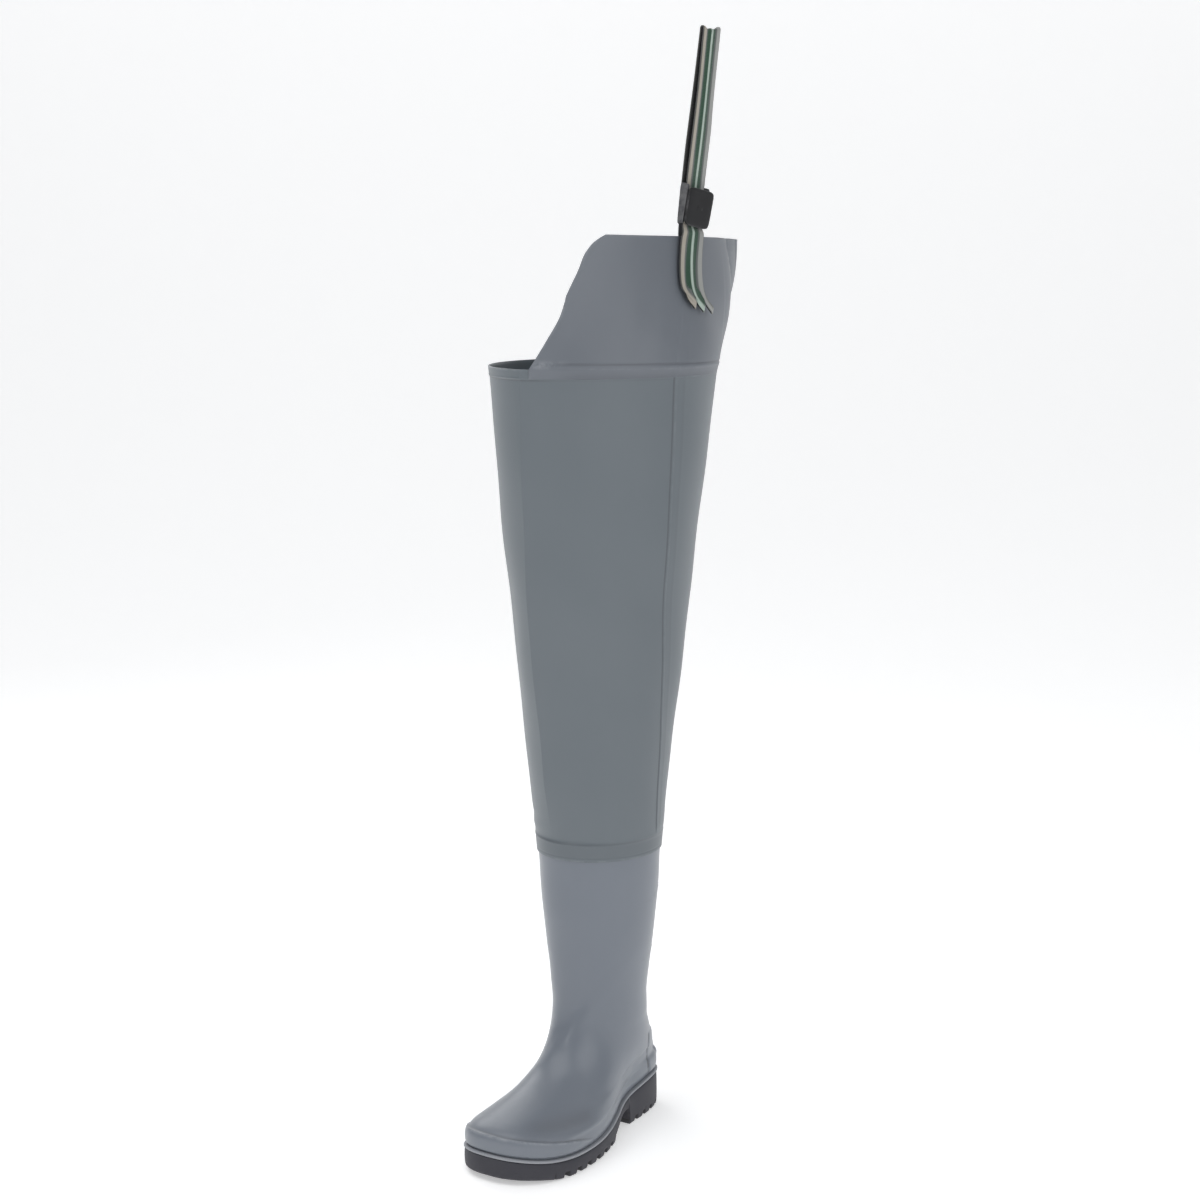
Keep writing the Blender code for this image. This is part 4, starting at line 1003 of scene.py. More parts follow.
# %% Leg surface
def leg_skin(z, angle):
    """An oval that grows from the shaft to the collar, turned a little, with two pressed creases."""
    share = np.clip((z - BOOT_TOP) / (COLLAR - BOOT_TOP), 0, 1)[:, None]
    free = rise(z, BOOT_TOP - 0.0004, BOOT_TOP + 0.0034)[:, None]
    widen = (np.minimum(z, BOOT_TOP) - LEG_LOW)[:, None] * SHAFT_FLARE + FIT_GAP + LEG_WALL
    wide = SHAFT_WIDE + free * curve(LEG_SHARES, 1, share) * (COLLAR_WIDE - SHAFT_WIDE) + (1 - free) * widen
    deep = SHAFT_DEEP + free * curve(LEG_SHARES, 2, share) * (COLLAR_DEEP - SHAFT_DEEP) + (1 - free) * widen
    centre = SHAFT_Y + free * curve(LEG_SHARES, 3, share) * (COLLAR_Y - SHAFT_Y)
    power = 2.0 + free * (curve(LEG_SHARES, 4, share) - 2.0)
    c, s = np.cos(angle), np.sin(angle)
    along = np.sign(c) * np.abs(c) ** (2 / power)
    across = np.sign(s) * np.abs(s) ** (2 / power)
    front = np.exp(-np.abs(off_angle(np.radians(leg_turns), 0.0)) / 17.0)
    back = np.exp(-np.abs(off_angle(np.radians(leg_turns), 180.0)) / 14.0)
    pressed = 1 + rise(share, 0.0, 0.14) * (0.054 * front + 0.036 * back)
    x, y = wide * across * pressed, -deep * along * pressed
    turn = -LEG_TURN * rise(share, 0.0, 0.55)
    return np.stack([x * np.cos(turn) - y * np.sin(turn),
                     x * np.sin(turn) + y * np.cos(turn) + centre,
                     np.repeat(z[:, None], angle.shape[1], axis=1)], axis=2)


leg_base = leg_skin(leg_z, leg_angle)
print("leg surface", leg_base.shape)

# %% [markdown]
# ## Leg folds and welds
# Four layers of relief follow: folds from a table, the outer weld, the hem at the
# collar and the band over the joint. The folds could be sculpted, but a table of
# places and depths is easier to read and move.

# %% Leg folds and welds
LEG_FOLDS = (
    # place round the leg in degrees, height, half reach in degrees, half height, slant, depth
    (205.0, 0.372, 34.0, 0.0055, 0.00022, -0.0016), (168.0, 0.388, 26.0, 0.0060, -0.00018, -0.0013),
    (236.0, 0.404, 30.0, 0.0070, 0.00030, -0.0014), (190.0, 0.358, 30.0, 0.0042, 0.00010, 0.0010),
    (150.0, 0.362, 22.0, 0.0045, -0.00020, -0.0009), (300.0, 0.366, 26.0, 0.0050, -0.00012, -0.0010),
    (330.0, 0.352, 20.0, 0.0040, 0.00008, 0.0007), (40.0, 0.470, 20.0, 0.055, 0.0006, -0.0022),
    (62.0, 0.640, 15.0, 0.085, -0.0008, -0.0026), (28.0, 0.740, 12.0, 0.070, 0.0004, 0.0016),
    (108.0, 0.520, 14.0, 0.060, 0.0004, 0.0014), (146.0, 0.610, 12.0, 0.080, -0.0006, -0.0022),
    (330.0, 0.560, 14.0, 0.090, 0.0008, -0.0022), (300.0, 0.680, 18.0, 0.080, -0.0008, 0.0022),
    (252.0, 0.620, 16.0, 0.090, 0.0006, -0.0026), (214.0, 0.720, 12.0, 0.080, 0.0006, 0.0018),
)


def pressed_folds(z, turns):
    """Each fold of the table is its depth times a bell along a slanted line; plus a slow wave."""
    height = np.zeros((len(z), len(turns)))
    for place, at, reach, half, slant, depth in LEG_FOLDS:
        off = off_angle(np.radians(turns), place)[None, :]
        height += depth * bump(off, 0, reach) * bump(z - slant * off, at, half)
    slow_wave = np.sin(z * 43.0 + 0.7) * np.sin(np.radians(turns)[None, :] * 3 + z * 11.0)
    return height * rise(z, 0.340, 0.352) + 0.0007 * slow_wave * rise(z, 0.36, 0.45), 0 * z, 0 * z


def outer_weld(z, degrees):
    """A lap between two turns: a step, a lip with a painted highlight and a groove at its edge, and a fused
    line.
    """
    over = rise(z, 0.3375, 0.352)
    lap = rise(degrees, SEAM_FROM - 0.5, SEAM_FROM + 0.2) * rise(degrees, SEAM_TO + 0.7, SEAM_TO - 0.4)
    lip = 0.00012 * bump(degrees, SEAM_FROM + 0.7, 0.6) - 0.00020 * bump(degrees, SEAM_FROM - 0.9, 0.5)
    fused = 0.00030 * bump(degrees, SEAM_FROM + 7.2, 0.7)
    groove = np.maximum(0.75 * bump(degrees, SEAM_FROM - 0.7, 0.45),
                        0.35 * bump(degrees, SEAM_FROM + 6.2, 0.5))
    # The lip's edge mark is a painted highlight along the lap.
    edge = 0.3 * bump(degrees, SEAM_FROM + 0.7, 0.6)
    return over * (SEAM_STEP * lap + lip + fused), over * groove, over * edge


def collar_hem(z, degrees):
    """A step under the rim with a ridge and a groove, fainter where the flap covers it."""
    low = COLLAR - HEM_HEIGHT
    bare = 1 - 0.8 * rise(degrees, 8.0, 18.0) * rise(degrees, 175.0, 165.0)
    step = HEM_STEP * rise(z, low - 0.0006, low + 0.0003) + 0.0003 * bump(z, low + 0.0012, 0.0008)
    return bare * step, 0.6 * bare * bump(z, low - 0.0008, 0.0007), 0.8 * bump(z, COLLAR - 0.0006, 0.0009)


def joint_band(z):
    """The band welded over the boot's top: a groove near its foot, a ridge and groove at its top."""
    foot_line, top_line = 0.3238, 0.3392
    height = 0.0003 * bump(z, top_line - 0.0007, 0.0014) - 0.0003 * bump(z, foot_line, 0.0009)
    between = 0.14 * rise(z, LEG_LOW + 0.002, LEG_LOW + 0.004) * rise(z, top_line, 0.337)
    groove = np.maximum(0.22 * bump(z, foot_line, 0.0008), 0.34 * bump(z, top_line, 0.0013))
    return height, np.maximum(groove, between), 0.6 * bump(z, LEG_LOW + 0.0006, 0.0009)


def leg_relief(z, turns):
    """The leg's layers over its skin, from a column of heights and a row of turns."""
    z, degrees = z[:, None], turns[None, :]
    return layered([pressed_folds(z, turns), outer_weld(z, degrees), collar_hem(z, degrees),
                    joint_band(z)])


leg_height, leg_groove, leg_edge = leg_relief(leg_z, leg_turns)
print("relief from", round(leg_height.min() * 1000, 2), "to", round(leg_height.max() * 1000, 2), "mm")

# %% Wall of the leg
leg_normal = ring_normals(leg_base)
leg_normal[:, :, 2] = 0
leg_normal /= np.linalg.norm(leg_normal, axis=2)[:, :, None]
leg_out = leg_base + leg_normal * leg_height[:, :, None]
leg_in = (leg_base + leg_normal * (np.minimum(leg_height, 0.0) - LEG_WALL)[:, :, None])[::3]
leg_in[-1] = (leg_base[-1] - leg_normal[-1] * LEG_WALL)
leg_marks = {"groove": leg_groove, "edge": leg_edge}
leg = shell_piece("leg_sheet", leg_out, leg_in, sheet_look, leg_marks, 0.3)
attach(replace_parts(leg, "leg"), "root")

# %% [markdown]
# ## Hip flap
# The flap is the same sheet again, welded outside the collar over its outer half
# and standing free above it. It starts on the curve of the collar and ends on a
# flatter bow at its top, so the surface between is a blend of the two, with a
# little belly. Its back edge is folded over as a strip and welded down.

# %% Flap surface
FLAP_TOP, FLAP_WALL, WELD_HEIGHT = 0.988, 0.0012, 0.0095
FLAP_BELLY, FLAP_BACK_BELLY, STRIP_WIDE, FLAP_RUN = 0.004, 0.005, 0.0075, 0.275
FLAP_FRONT, FLAP_MIDDLE, FLAP_BACK = (0.080, -0.153), (0.0961, -0.018), (0.073, 0.112)
FLAP_FROM, FLAP_TO = 12.3, 166.9
FLAP_EDGE = (
    # rise, reach of the front edge as a share of the flap's run
    (0.00, 0.000), (0.10, 0.002), (0.27, 0.007), (0.38, 0.011), (0.59, 0.040),
    (0.74, 0.050), (0.88, 0.059), (0.95, 0.043), (1.00, 0.011),
)


def flap_places(count):
    """Shares across the flap from front to back, closer at both edges."""
    even = np.linspace(0, 1, count)
    return even - 0.055 * np.sin(2 * math.pi * even)


foot_row = int(np.argmin(np.abs(leg_z - (COLLAR - WELD_HEIGHT))))


def flap_surface(u, z):
    """From the collar's rim to the top's bow, at shares u across and heights z."""
    up = np.clip((z - COLLAR) / (FLAP_TOP - COLLAR), 0, 1)[:, None]
    u = u[None, :] - curve(FLAP_EDGE, 1, up) * (1 - u[None, :]) ** 2
    turn = np.radians(FLAP_FROM + (FLAP_TO - FLAP_FROM) * u)
    rim_turn = np.concatenate([leg_angle[-1] - 2 * math.pi, leg_angle[-1]])
    below = np.clip((COLLAR - z) / (COLLAR - leg_z[foot_row]), 0, 1)[:, None]
    rim = []
    for k in (0, 1):
        collar_line, foot_line, away = (np.interp(turn, rim_turn, np.tile(line[:, k], 2))
                                        for line in (leg_out[-1], leg_out[foot_row], leg_normal[-1]))
        rim.append(collar_line + (foot_line - collar_line) * below + away * (FIT_GAP + FLAP_WALL / 2))
    top_y = FLAP_FRONT[1] + (FLAP_BACK[1] - FLAP_FRONT[1]) * u
    points = np.array([FLAP_FRONT, FLAP_MIDDLE, FLAP_BACK])
    top_x = np.polyval(np.polyfit(points[:, 1], points[:, 0], 2), top_y)
    belly = 4 * up * (1 - up)
    back = FLAP_BACK_BELLY * rise(u, 0.62, 0.92)
    x = rim[0] * (1 - up) + top_x * up + belly * (FLAP_BELLY + 0.8 * back)
    y = rim[1] * (1 - up) + top_y * up + belly * 0.6 * back
    drop = rise(up, 0.3, 1.0) * (0.0042 * u - 0.0016 + 0.0012 * np.abs(u) ** 8)
    return np.stack([x, y, z[:, None] - drop], axis=2)


flap_u = flap_places(168)
flap_z = np.concatenate([np.linspace(COLLAR - WELD_HEIGHT, COLLAR + 0.004, 18),
                         np.linspace(COLLAR + 0.0055, FLAP_TOP - 0.003, 92),
                         np.linspace(FLAP_TOP - 0.0022, FLAP_TOP, 5)])
flap_middle = flap_surface(flap_u, flap_z)
print("flap surface", flap_middle.shape)

# %% [markdown]
# ## Flap bends, weld and edges
# Storage has bent the back corner, and the weld and the strip along the back edge
# stand a little proud. Each is a layer again, because a layer can be read, moved
# or left out without touching the others.

# %% Flap bends, weld and edges
def flap_bends(u, up):
    """The back corner's stored bend with a painted shade line and a painted highlight along it and painted
    light beyond, an upright trough towards the front, slack waves.
    """
    bend = 1.0 - 0.150 * rise(up, 0.02, 1.0)
    height = -0.0022 * np.exp(-np.abs(u - bend) / 0.045) * rise(up, 0.10, 0.50)
    height = height - 0.0014 * bump(u, 0.320, 0.050) * rise(up, 0.72, 0.35) * rise(up, 0.0, 0.10)
    height = height + 0.0018 * np.sin(u * 7.4 + 0.6) * bump(up, 0.62, 0.30)
    height = height + 0.0008 * np.sin(u * 21.0 + up * 5.0) * bump(up, 0.30, 0.24)
    # Painted light: the edge marks paint a highlight along the bend and lighten the face beyond it, which
    # the turned strip shows in light; the groove mark paints a shade line in front of the bend.
    lightened = 1.3 * bump(u, bend + 0.002, 0.0050) * rise(up, 0.30, 0.7)
    corner = 0.2 * rise(u, bend, bend + 0.006) * rise(up, 0.05, 0.3)
    return height, 0.45 * bump(u, bend - 0.004, 0.004) * rise(up, 0.2, 0.6), np.maximum(lightened, corner)


def flap_weld(u, z):
    """Pressed flush with the leg under the rim; above it a fused line that sinks to the back."""
    pressed = rise(z, COLLAR + 0.0025, COLLAR - WELD_HEIGHT)
    line = COLLAR + 0.0068 - 0.0045 * u
    height = 0.0003 * bump(z, line - 0.0025, 0.0016) - 0.0005 * bump(z, line, 0.0011)
    height = height - (FIT_GAP + FLAP_WALL - 0.0002) * pressed
    groove = np.maximum(0.62 * bump(z, line, 0.0010) * rise(u, 0.05, 0.12),
                        0.34 * pressed * rise(u, 0.06, 0.16))
    edge = np.maximum(0.9 * bump(z, line - 0.0015, 0.0035) * rise(u, 0.14, 0.02),
                      0.25 * bump(z, line - 0.0048, 0.0006) * rise(u, 0.0, 0.10))
    return height, groove, edge


def flap_edges(u, up):
    """A strip welded along the back edge; front and top edges a little thicker and rubbed."""
    strip = 1 - STRIP_WIDE / FLAP_RUN
    height = 0.0005 * rise(u, strip - 0.002, strip + 0.001)
    height = height + 0.0004 * rise(u, 0.012, 0.0) + 0.0003 * rise(up, 0.985, 1.0)
    sides = np.maximum(0.6 * bump(u, 1.0, 0.006), 0.7 * bump(u, 0.0, 0.005))
    return height, 0.35 * bump(u, strip - 0.004, 0.0028), np.maximum(sides, 0.6 * bump(up, 1.0, 0.006))


def flap_relief(u, z):
    """The flap's layers over its surface, from a row of shares and a column of heights."""
    u, z = u[None, :], z[:, None]
    up = np.clip((z - COLLAR) / (FLAP_TOP - COLLAR), 0, 1)
    return layered([flap_bends(u, up), flap_weld(u, z), flap_edges(u, up)])


flap_height, flap_groove, flap_edge = flap_relief(flap_u, flap_z)
print("relief from", round(flap_height.min() * 1000, 2), "to", round(flap_height.max() * 1000, 2), "mm")

# %% Wall of the flap
flap_normal = sheet_normals(flap_middle)
flap_out = flap_middle + flap_normal * (FLAP_WALL / 2 + flap_height)[:, :, None]
flap_wall = FLAP_WALL * (0.35 + 0.65 * rise(flap_z, COLLAR - WELD_HEIGHT, COLLAR + 0.001))[:, None]
flap_in = flap_middle + flap_normal * (flap_height + FLAP_WALL / 2 - flap_wall)[:, :, None]
flap = sheet_piece("flap_sheet", flap_out, flap_in, flap_look, {"groove": flap_groove, "edge": flap_edge})
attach(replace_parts(flap, "hip_flap"), "root")

# %% [markdown]
# ## Elastic strap
# One band of woven elastic does everything: it is riveted behind the buckle,
# stands up as a loop, comes back through the buckle and ends as a tail. A curve
# with a bevel could carry it, but not its flutes and tips, so it is one ribbon
# worked out along one path in a plane.

# %% Strap path
BUCKLE_X, BUCKLE_Y, BUCKLE_LOW, BUCKLE_TALL = 0.0990, -0.018, 0.999, 0.043
STRAP_WIDTH, STRAP_THICK, STRAP_TOP = 0.035, 0.0015, 1.200
STRAP_LEAN, STRAP_SHIFT, LOOP_GAP, LOOP_SWELL = 0.029, 0.0146, 0.0032, 0.0005
TAIL_END, TAIL_START, TAIL_SWING, BUCKLE_LEAN, BUCKLE_ROLL = 0.907, 0.0022, 0.012, 0.17, 0.12
BUCKLE_DROP, PLATE_BEHIND = 0.0008, 0.0035
TIP_PLACES, TIP_REACH, TIP_CUT, TIP_SLOPE = np.array([0.09, 0.50, 0.91]), 0.205, 0.0170, 0.0073
TAIL_POINTS = 60
TAIL_SHIFTS = (
    # share of the tail, shift along the foot in metres
    (0.00, -0.0073), (0.25, -0.0156), (0.45, -0.0203), (0.62, -0.0223), (0.78, -0.0215),
    (0.90, -0.0175), (1.00, -0.0085),
)
strap_inner = BUCKLE_X - PLATE_BEHIND - FIT_GAP - STRAP_THICK / 2
strap_outer = BUCKLE_X + 0.0012
loop_low = BUCKLE_LOW + BUCKLE_TALL
loop_top = STRAP_TOP - (LOOP_GAP + STRAP_THICK) / 2


def loop_side(share, side):
    """One side of the standing loop at shares of its height."""
    middle = (strap_inner + strap_outer) / 2 + STRAP_LEAN * share
    half = (strap_outer - strap_inner) / 2 * (1 - share) + LOOP_GAP / 2 * share
    half = half + LOOP_SWELL * np.sin(math.pi * share)
    return np.stack([middle + side * half, loop_low + (loop_top - loop_low) * share], axis=1)


def strap_path():
    """Points (x, z) from the riveted end over the loop to the tail's tip."""
    up = np.linspace(0.0, 1.0, 64)[1:]
    arc = np.linspace(math.pi, 0, 13)[1:-1]
    down = np.linspace(1.0, 0.0, 64)[:-1]
    tail = np.linspace(0.0, 1.0, TAIL_POINTS)[1:]
    top_x = (strap_inner + strap_outer) / 2 + STRAP_LEAN
    fixed = np.stack([np.full(12, strap_inner), BUCKLE_LOW + BUCKLE_TALL * np.linspace(0.35, 1.0, 12)], 1)
    over = np.stack([top_x + LOOP_GAP / 2 * np.cos(arc), loop_top + LOOP_GAP / 2 * np.sin(arc)], 1)
    through = np.stack([np.full(24, strap_outer), BUCKLE_LOW + BUCKLE_TALL * np.linspace(1.0, 0.0, 24)], 1)
    swing = TAIL_START * rise(tail, 0, 0.08) + TAIL_SWING * (2 * tail + tail**3) / 3
    hang = np.stack([strap_outer + swing, BUCKLE_LOW + (TAIL_END - BUCKLE_LOW) * tail], 1)
    return np.concatenate([fixed, loop_side(up, -1), over, loop_side(down, 1), through, hang])


path = strap_path()
path[1:-1] = (path[:-2] + 2 * path[1:-1] + path[2:]) / 4
path_run = np.concatenate([[0.0], np.cumsum(np.linalg.norm(np.diff(path, axis=0), axis=1))])
print("strap path", len(path), "points,", round(path_run[-1], 3), "m long")

# %% [markdown]
# ## Strap band
# The band is swept along the path: at each point it has a width, a slow twist,
# flutes and a shift along the foot, and at its end it is cut to three tips. One
# function gives the outer and the inner face, so the band can't pass through itself.

# %% Strap band
def strap_grid(side):
    """The path swept across the width: place = path + normal * (flutes + half thickness),
    turned by a slow twist, shifted along the foot, its end cut back between three tips."""
    u = np.linspace(0, 1, 49)
    x, z = path[:, :1], path[:, 1:]
    run = np.gradient(path, axis=0)
    run /= np.linalg.norm(run, axis=1)[:, None]
    normal = np.stack([-run[:, 1], run[:, 0]], axis=1)
    loop = np.clip((z - loop_low) / (loop_top - loop_low), 0, 1)
    on_tail = (np.arange(len(path)) > len(path) - TAIL_POINTS)[:, None]
    tail = np.clip((BUCKLE_LOW - z) / (BUCKLE_LOW - TAIL_END), 0, 1) * on_tail
    width = STRAP_WIDTH * (1 - 0.16 * rise(loop, 0.1, 0.8) - 0.04 * rise(tail, 0.55, 1.0))
    width = width * (1 + 0.05 * bump(loop, 0.36, 0.10) * (u[None, :] > 0.5))
    twist = 0.22 * rise(loop, 0.15, 1.0) * loop
    flute = 0.0007 * rise(loop, 0.02, 0.3) + 0.0012 * rise(tail, 0.0, 0.7)
    ridges = np.cos(2 * math.pi * (u - 0.5) / 0.42)[None, :]
    across = (u[None, :] - 0.5) * width
    lip = 0.0026 * rise(loop, 0.97, 1.0) * (2 * np.abs(u[None, :] - 0.5)) ** 1.5
    off = flute * ridges + side * STRAP_THICK / 2
    in_buckle = BUCKLE_LEAN * np.clip(z - BUCKLE_LOW - BUCKLE_TALL, -BUCKLE_TALL, 0.0)
    hang = np.where(on_tail, curve(TAIL_SHIFTS, 1, tail), in_buckle)
    outward = 0.0012 * rise(tail, 0.0, 0.1) + 0.14 * across * rise(tail, 0.0, 0.15)
    place_x = x + normal[:, :1] * off + across * np.sin(twist) * 0.35 + outward
    place_y = BUCKLE_Y - STRAP_SHIFT * loop + hang + across * np.cos(twist)
    from_tip = np.min(np.abs(u[:, None] - TIP_PLACES), axis=1)[None, :] / TIP_REACH
    cut = TIP_CUT * np.clip(from_tip, 0, 1) ** 0.8 * rise(tail, 0.60, 1.0)
    slope = TIP_SLOPE * (0.66 - u[None, :]) * rise(tail, 0.6, 1.0)
    place_z = z + normal[:, 1:] * off + cut + slope - 0.0018 * rise(loop, 0.97, 1.0) + lip
    return np.stack([place_x, place_y, place_z], axis=2)


strap_faces = [strap_grid(side) for side in (1.0, -1.0)]
print("strap band", strap_faces[0].shape)

# %% [markdown]
# ## Woven elastic
# The stripes are dyed yarns that run along the band, crossed by fine ribs. An image
# would blur close by, so a colour ramp reads the place across the band from its UV
# map, two waves make the weave, and the reverse side is charcoal.

# %% Woven elastic
def woven_look():
    """Stripes across the band, a rib weave on them, the reverse side charcoal."""
    look = bpy.data.materials.new("striped_elastic")
    look.use_nodes = True
    tree = look.node_tree
    shader = tree.nodes["Principled BSDF"]
    shader.inputs["Sheen Weight"].default_value = 0.25
    surface = node(tree, "ShaderNodeUVMap", uv_map="surface")
    split = node(tree, "ShaderNodeSeparateXYZ")
    tree.links.new(surface.outputs["UV"], split.inputs[0])
    stripes = node(tree, "ShaderNodeValToRGB")
    rim, beige, dark = (0.10, 0.10, 0.09), (0.44, 0.40, 0.335), (0.012, 0.062, 0.030)
    grey, mint, pale = (0.11, 0.125, 0.12), (0.46, 0.56, 0.49), (0.36, 0.365, 0.35)
    bands = ((0.0, rim), (0.030, beige), (0.170, beige), (0.215, grey), (0.265, grey), (0.290, dark),
             (0.435, dark), (0.465, mint), (0.545, mint), (0.575, dark), (0.720, dark), (0.745, grey),
             (0.790, grey), (0.825, pale), (0.960, pale), (1.0, rim))
    points = stripes.color_ramp.elements
    while len(points) < len(bands):
        points.new(0.5)
    for point, (at, color) in zip(points, bands):
        point.position = at
        point.color = (*color, 1.0)
    tree.links.new(split.outputs["X"], stripes.inputs["Fac"])
    ribs = node(tree, "ShaderNodeTexWave", bands_direction="Y", Scale=260.0, Distortion=0.0)
    cords = node(tree, "ShaderNodeTexWave", bands_direction="X", Scale=9.0, Distortion=0.0)
    tree.links.new(surface.outputs["UV"], ribs.inputs["Vector"])
    tree.links.new(surface.outputs["UV"], cords.inputs["Vector"])
    weave = math_node(tree, "MULTIPLY", ribs.outputs["Fac"], cords.outputs["Fac"])
    shade = math_node(tree, "MULTIPLY", weave, 0.35)
    tone = mix_color(tree, shade, stripes.outputs["Color"], (0.05, 0.06, 0.055))
    tone = mix_color(tree, mark_value(tree, "reverse"), tone, (0.022, 0.024, 0.025))
    tree.links.new(tone, shader.inputs["Base Color"])
    rough = math_node(tree, "MULTIPLY", weave, 0.12)
    tree.links.new(math_node(tree, "ADD", rough, 0.74), shader.inputs["Roughness"])
    relief = node(tree, "ShaderNodeBump", Distance=0.00025)
    tree.links.new(weave, relief.inputs["Height"])
    tree.links.new(relief.outputs["Normal"], shader.inputs["Normal"])
    return look


strap = sheet_piece("striped_strap", *strap_faces, woven_look(), scale=(1.0, float(path_run[-1])))
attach(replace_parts(strap, "elastic_strap"), "root")

# %% [markdown]
# ## Tab and patches
# A short tab of sheet hangs inside the flap, holds the buckle's lowest bar in its
# fold and is covered where it is welded on by a dark patch. A shrinkwrap could
# lay them on, but the flap's own grid already tells where its inner face is.

# %% The flap's inner face as a table
TAB_THICK, PATCH_THICK = 0.0009, 0.0009
TAB_ROWS = (0.728, 0.816, 0.926, 1.0)
RUN_COUNT = 251
run_places = np.linspace(-0.15, 0.10, RUN_COUNT)
flap_back = np.stack([np.interp(run_places, row[:, 1], row[:, 0]) for row in flap_in])


def flap_inside_x(y, z, back):
    """The flap's inner face at runs and heights, moved back: four points of a table blended."""
    y, z = np.broadcast_arrays(y, z)
    r = np.clip(np.interp(z, flap_z, np.arange(len(flap_z))), 0, len(flap_z) - 1.001)
    c = np.clip(np.interp(y, run_places, np.arange(RUN_COUNT)), 0, RUN_COUNT - 1.001)
    low_r, low_c = r.astype(int), c.astype(int)
    fr, fc = r - low_r, c - low_c
    left = flap_back[low_r, low_c] * (1 - fr) + flap_back[low_r + 1, low_c] * fr
    right = flap_back[low_r, low_c + 1] * (1 - fr) + flap_back[low_r + 1, low_c + 1] * fr
    return left * (1 - fc) + right * fc + back


print("inner face", flap_back.shape)

# %% Strap tab and its cover patch
def strip_piece(name, path, wide, thick, look, flat_edge):
    """A flat strip along an (x, z) path, its long edges pressed thinner by a share."""
    path = np.asarray(path)
    u = np.linspace(-0.5, 0.5, 33)
    run = np.gradient(path, axis=0)
    run /= np.linalg.norm(run, axis=1)[:, None]
    normal = np.stack([-run[:, 1], run[:, 0]], axis=1)
    pressed = 1 - flat_edge * rise(np.abs(u), 0.455, 0.475)
    grids = []
    for side in (0.5, -0.5):
        off = side * thick * pressed[None, :]
        x = path[:, :1] + normal[:, :1] * off
        z = path[:, 1:] + normal[:, 1:] * off
        held = rise(path[:, 1:], 0.950, 1.0)
        grids.append(np.stack([x, BUCKLE_Y + u * wide - BUCKLE_LEAN * 0.040 * held,
                               z - (BUCKLE_ROLL * u * wide + BUCKLE_DROP) * held], axis=2))
    return sheet_piece(name, grids[0], grids[1], look)


def rounded(corners, steps):
    """A path through corner points with each corner softened by averaging."""
    corners = np.asarray(corners, float)
    run = np.concatenate([[0], np.cumsum(np.linalg.norm(np.diff(corners, axis=0), axis=1))])
    at = np.linspace(0, run[-1], steps)
    line = np.stack([np.interp(at, run, corners[:, k]) for k in (0, 1)], axis=1)
    for _ in range(3):
        line[1:-1] = (line[:-2] + 2 * line[1:-1] + line[2:]) / 4
    return line


def weld_x(z, back):
    """Where a straight strip can lie flat inside the flap at one height."""
    ys = BUCKLE_Y + np.linspace(-0.5, 0.5, 9) * STRAP_WIDTH
    return float(np.min(flap_inside_x(ys, z, back)))


clear = FIT_GAP + TAB_THICK / 2
BAR_THICK, LOW_BAR = 0.0015, 0.151
bar_back = BUCKLE_X - PLATE_BEHIND
bar_front = bar_back + BAR_THICK
bar_top = BUCKLE_LOW + LOW_BAR * BUCKLE_TALL
tab_back = -2 * FIT_GAP - TAB_THICK / 2
tab_heights = [COLLAR + s * (FLAP_TOP - COLLAR) for s in TAB_ROWS]
tab_points = [(weld_x(z, tab_back), z) for z in tab_heights]
tab_points += [(bar_back - clear, BUCKLE_LOW), (bar_back - clear, bar_top), (bar_back, bar_top + clear),
               (bar_front, bar_top + clear), (bar_front + clear, bar_top), (bar_front + clear, BUCKLE_LOW),
               (bar_front + 0.0001, BUCKLE_LOW - clear)]
tab = strip_piece("folded_tab", rounded(tab_points, 150), STRAP_WIDTH - 0.002, TAB_THICK, tab_look,
                  flat_edge=0.25)
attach(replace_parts(tab, "strap_tab"), "root")

patch_back = tab_back - TAB_THICK / 2 - FIT_GAP - PATCH_THICK / 2
patch_points = [(weld_x(z, patch_back), z) for z in tab_heights[:3]]
patch = strip_piece("cover_patch", rounded(patch_points, 40), STRAP_WIDTH * 0.94, PATCH_THICK,
                    patch_look, flat_edge=0.45)
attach(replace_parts(patch, "tab_patch"), "root")

# %% [markdown]
# ## Round pad
# Lower down a round pad backs the flap, where the hand pulls at it. It is welded
# flat, with a pressed ridge by its rim. Rings in a plane, laid on the inner face
# by the same table, give it the flap's waves.

# %% Round pad
PAD_RADIUS, PAD_HEIGHT, PAD_SHIFT = 0.029, 0.419, 0.006
inner_shares = np.linspace(0.03, 1.0, 26)
pad_shares = np.concatenate([inner_shares, inner_shares[::-1]])
pad_behind = np.repeat([0.0, 1.0], len(inner_shares)) * np.where(pad_shares < 0.999, 1.0, 0.5)


def pad_rings():
    """Rings out over the flap's inner face and back over the pad, with a ridge by the rim."""
    turn = np.arange(96) * 2 * math.pi / 96
    share = pad_shares[:, None]
    ys = BUCKLE_Y + PAD_SHIFT + PAD_RADIUS * share * np.cos(turn)
    zs = COLLAR + PAD_HEIGHT * (FLAP_TOP - COLLAR) + PAD_RADIUS * share * np.sin(turn)
    ridge = 0.00035 * (bump(share, 0.95, 0.025) - bump(share, 0.88, 0.02))
    xs = flap_inside_x(ys, zs, -FIT_GAP) - (PATCH_THICK + ridge) * pad_behind[:, None]
    return np.stack([xs, ys, zs], axis=2)


disc = pad_rings()
disc_marks = {"edge": np.repeat(bump(pad_shares, 0.96, 0.03)[:, None], disc.shape[1], axis=1),
              "groove": np.repeat(0.8 * bump(pad_shares, 0.885, 0.015)[:, None], disc.shape[1], axis=1)}
round_patch = solid_rings("round_pad", disc, flap_look, disc_marks)
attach(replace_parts(round_patch, "round_patch"), "root")

# %% [markdown]
# ## Buckle
# The adjuster is a moulded frame with two side rails and three cross bars, and a
# lever over them whose cam bites the strap. It hangs a little askew, so every
# part of it leans by the same slope. Bevelled boxes would look sharp and equal, so
# soft four-cornered outlines are carried across instead. The rails are deeper at
# the top, where the lever stands off further.

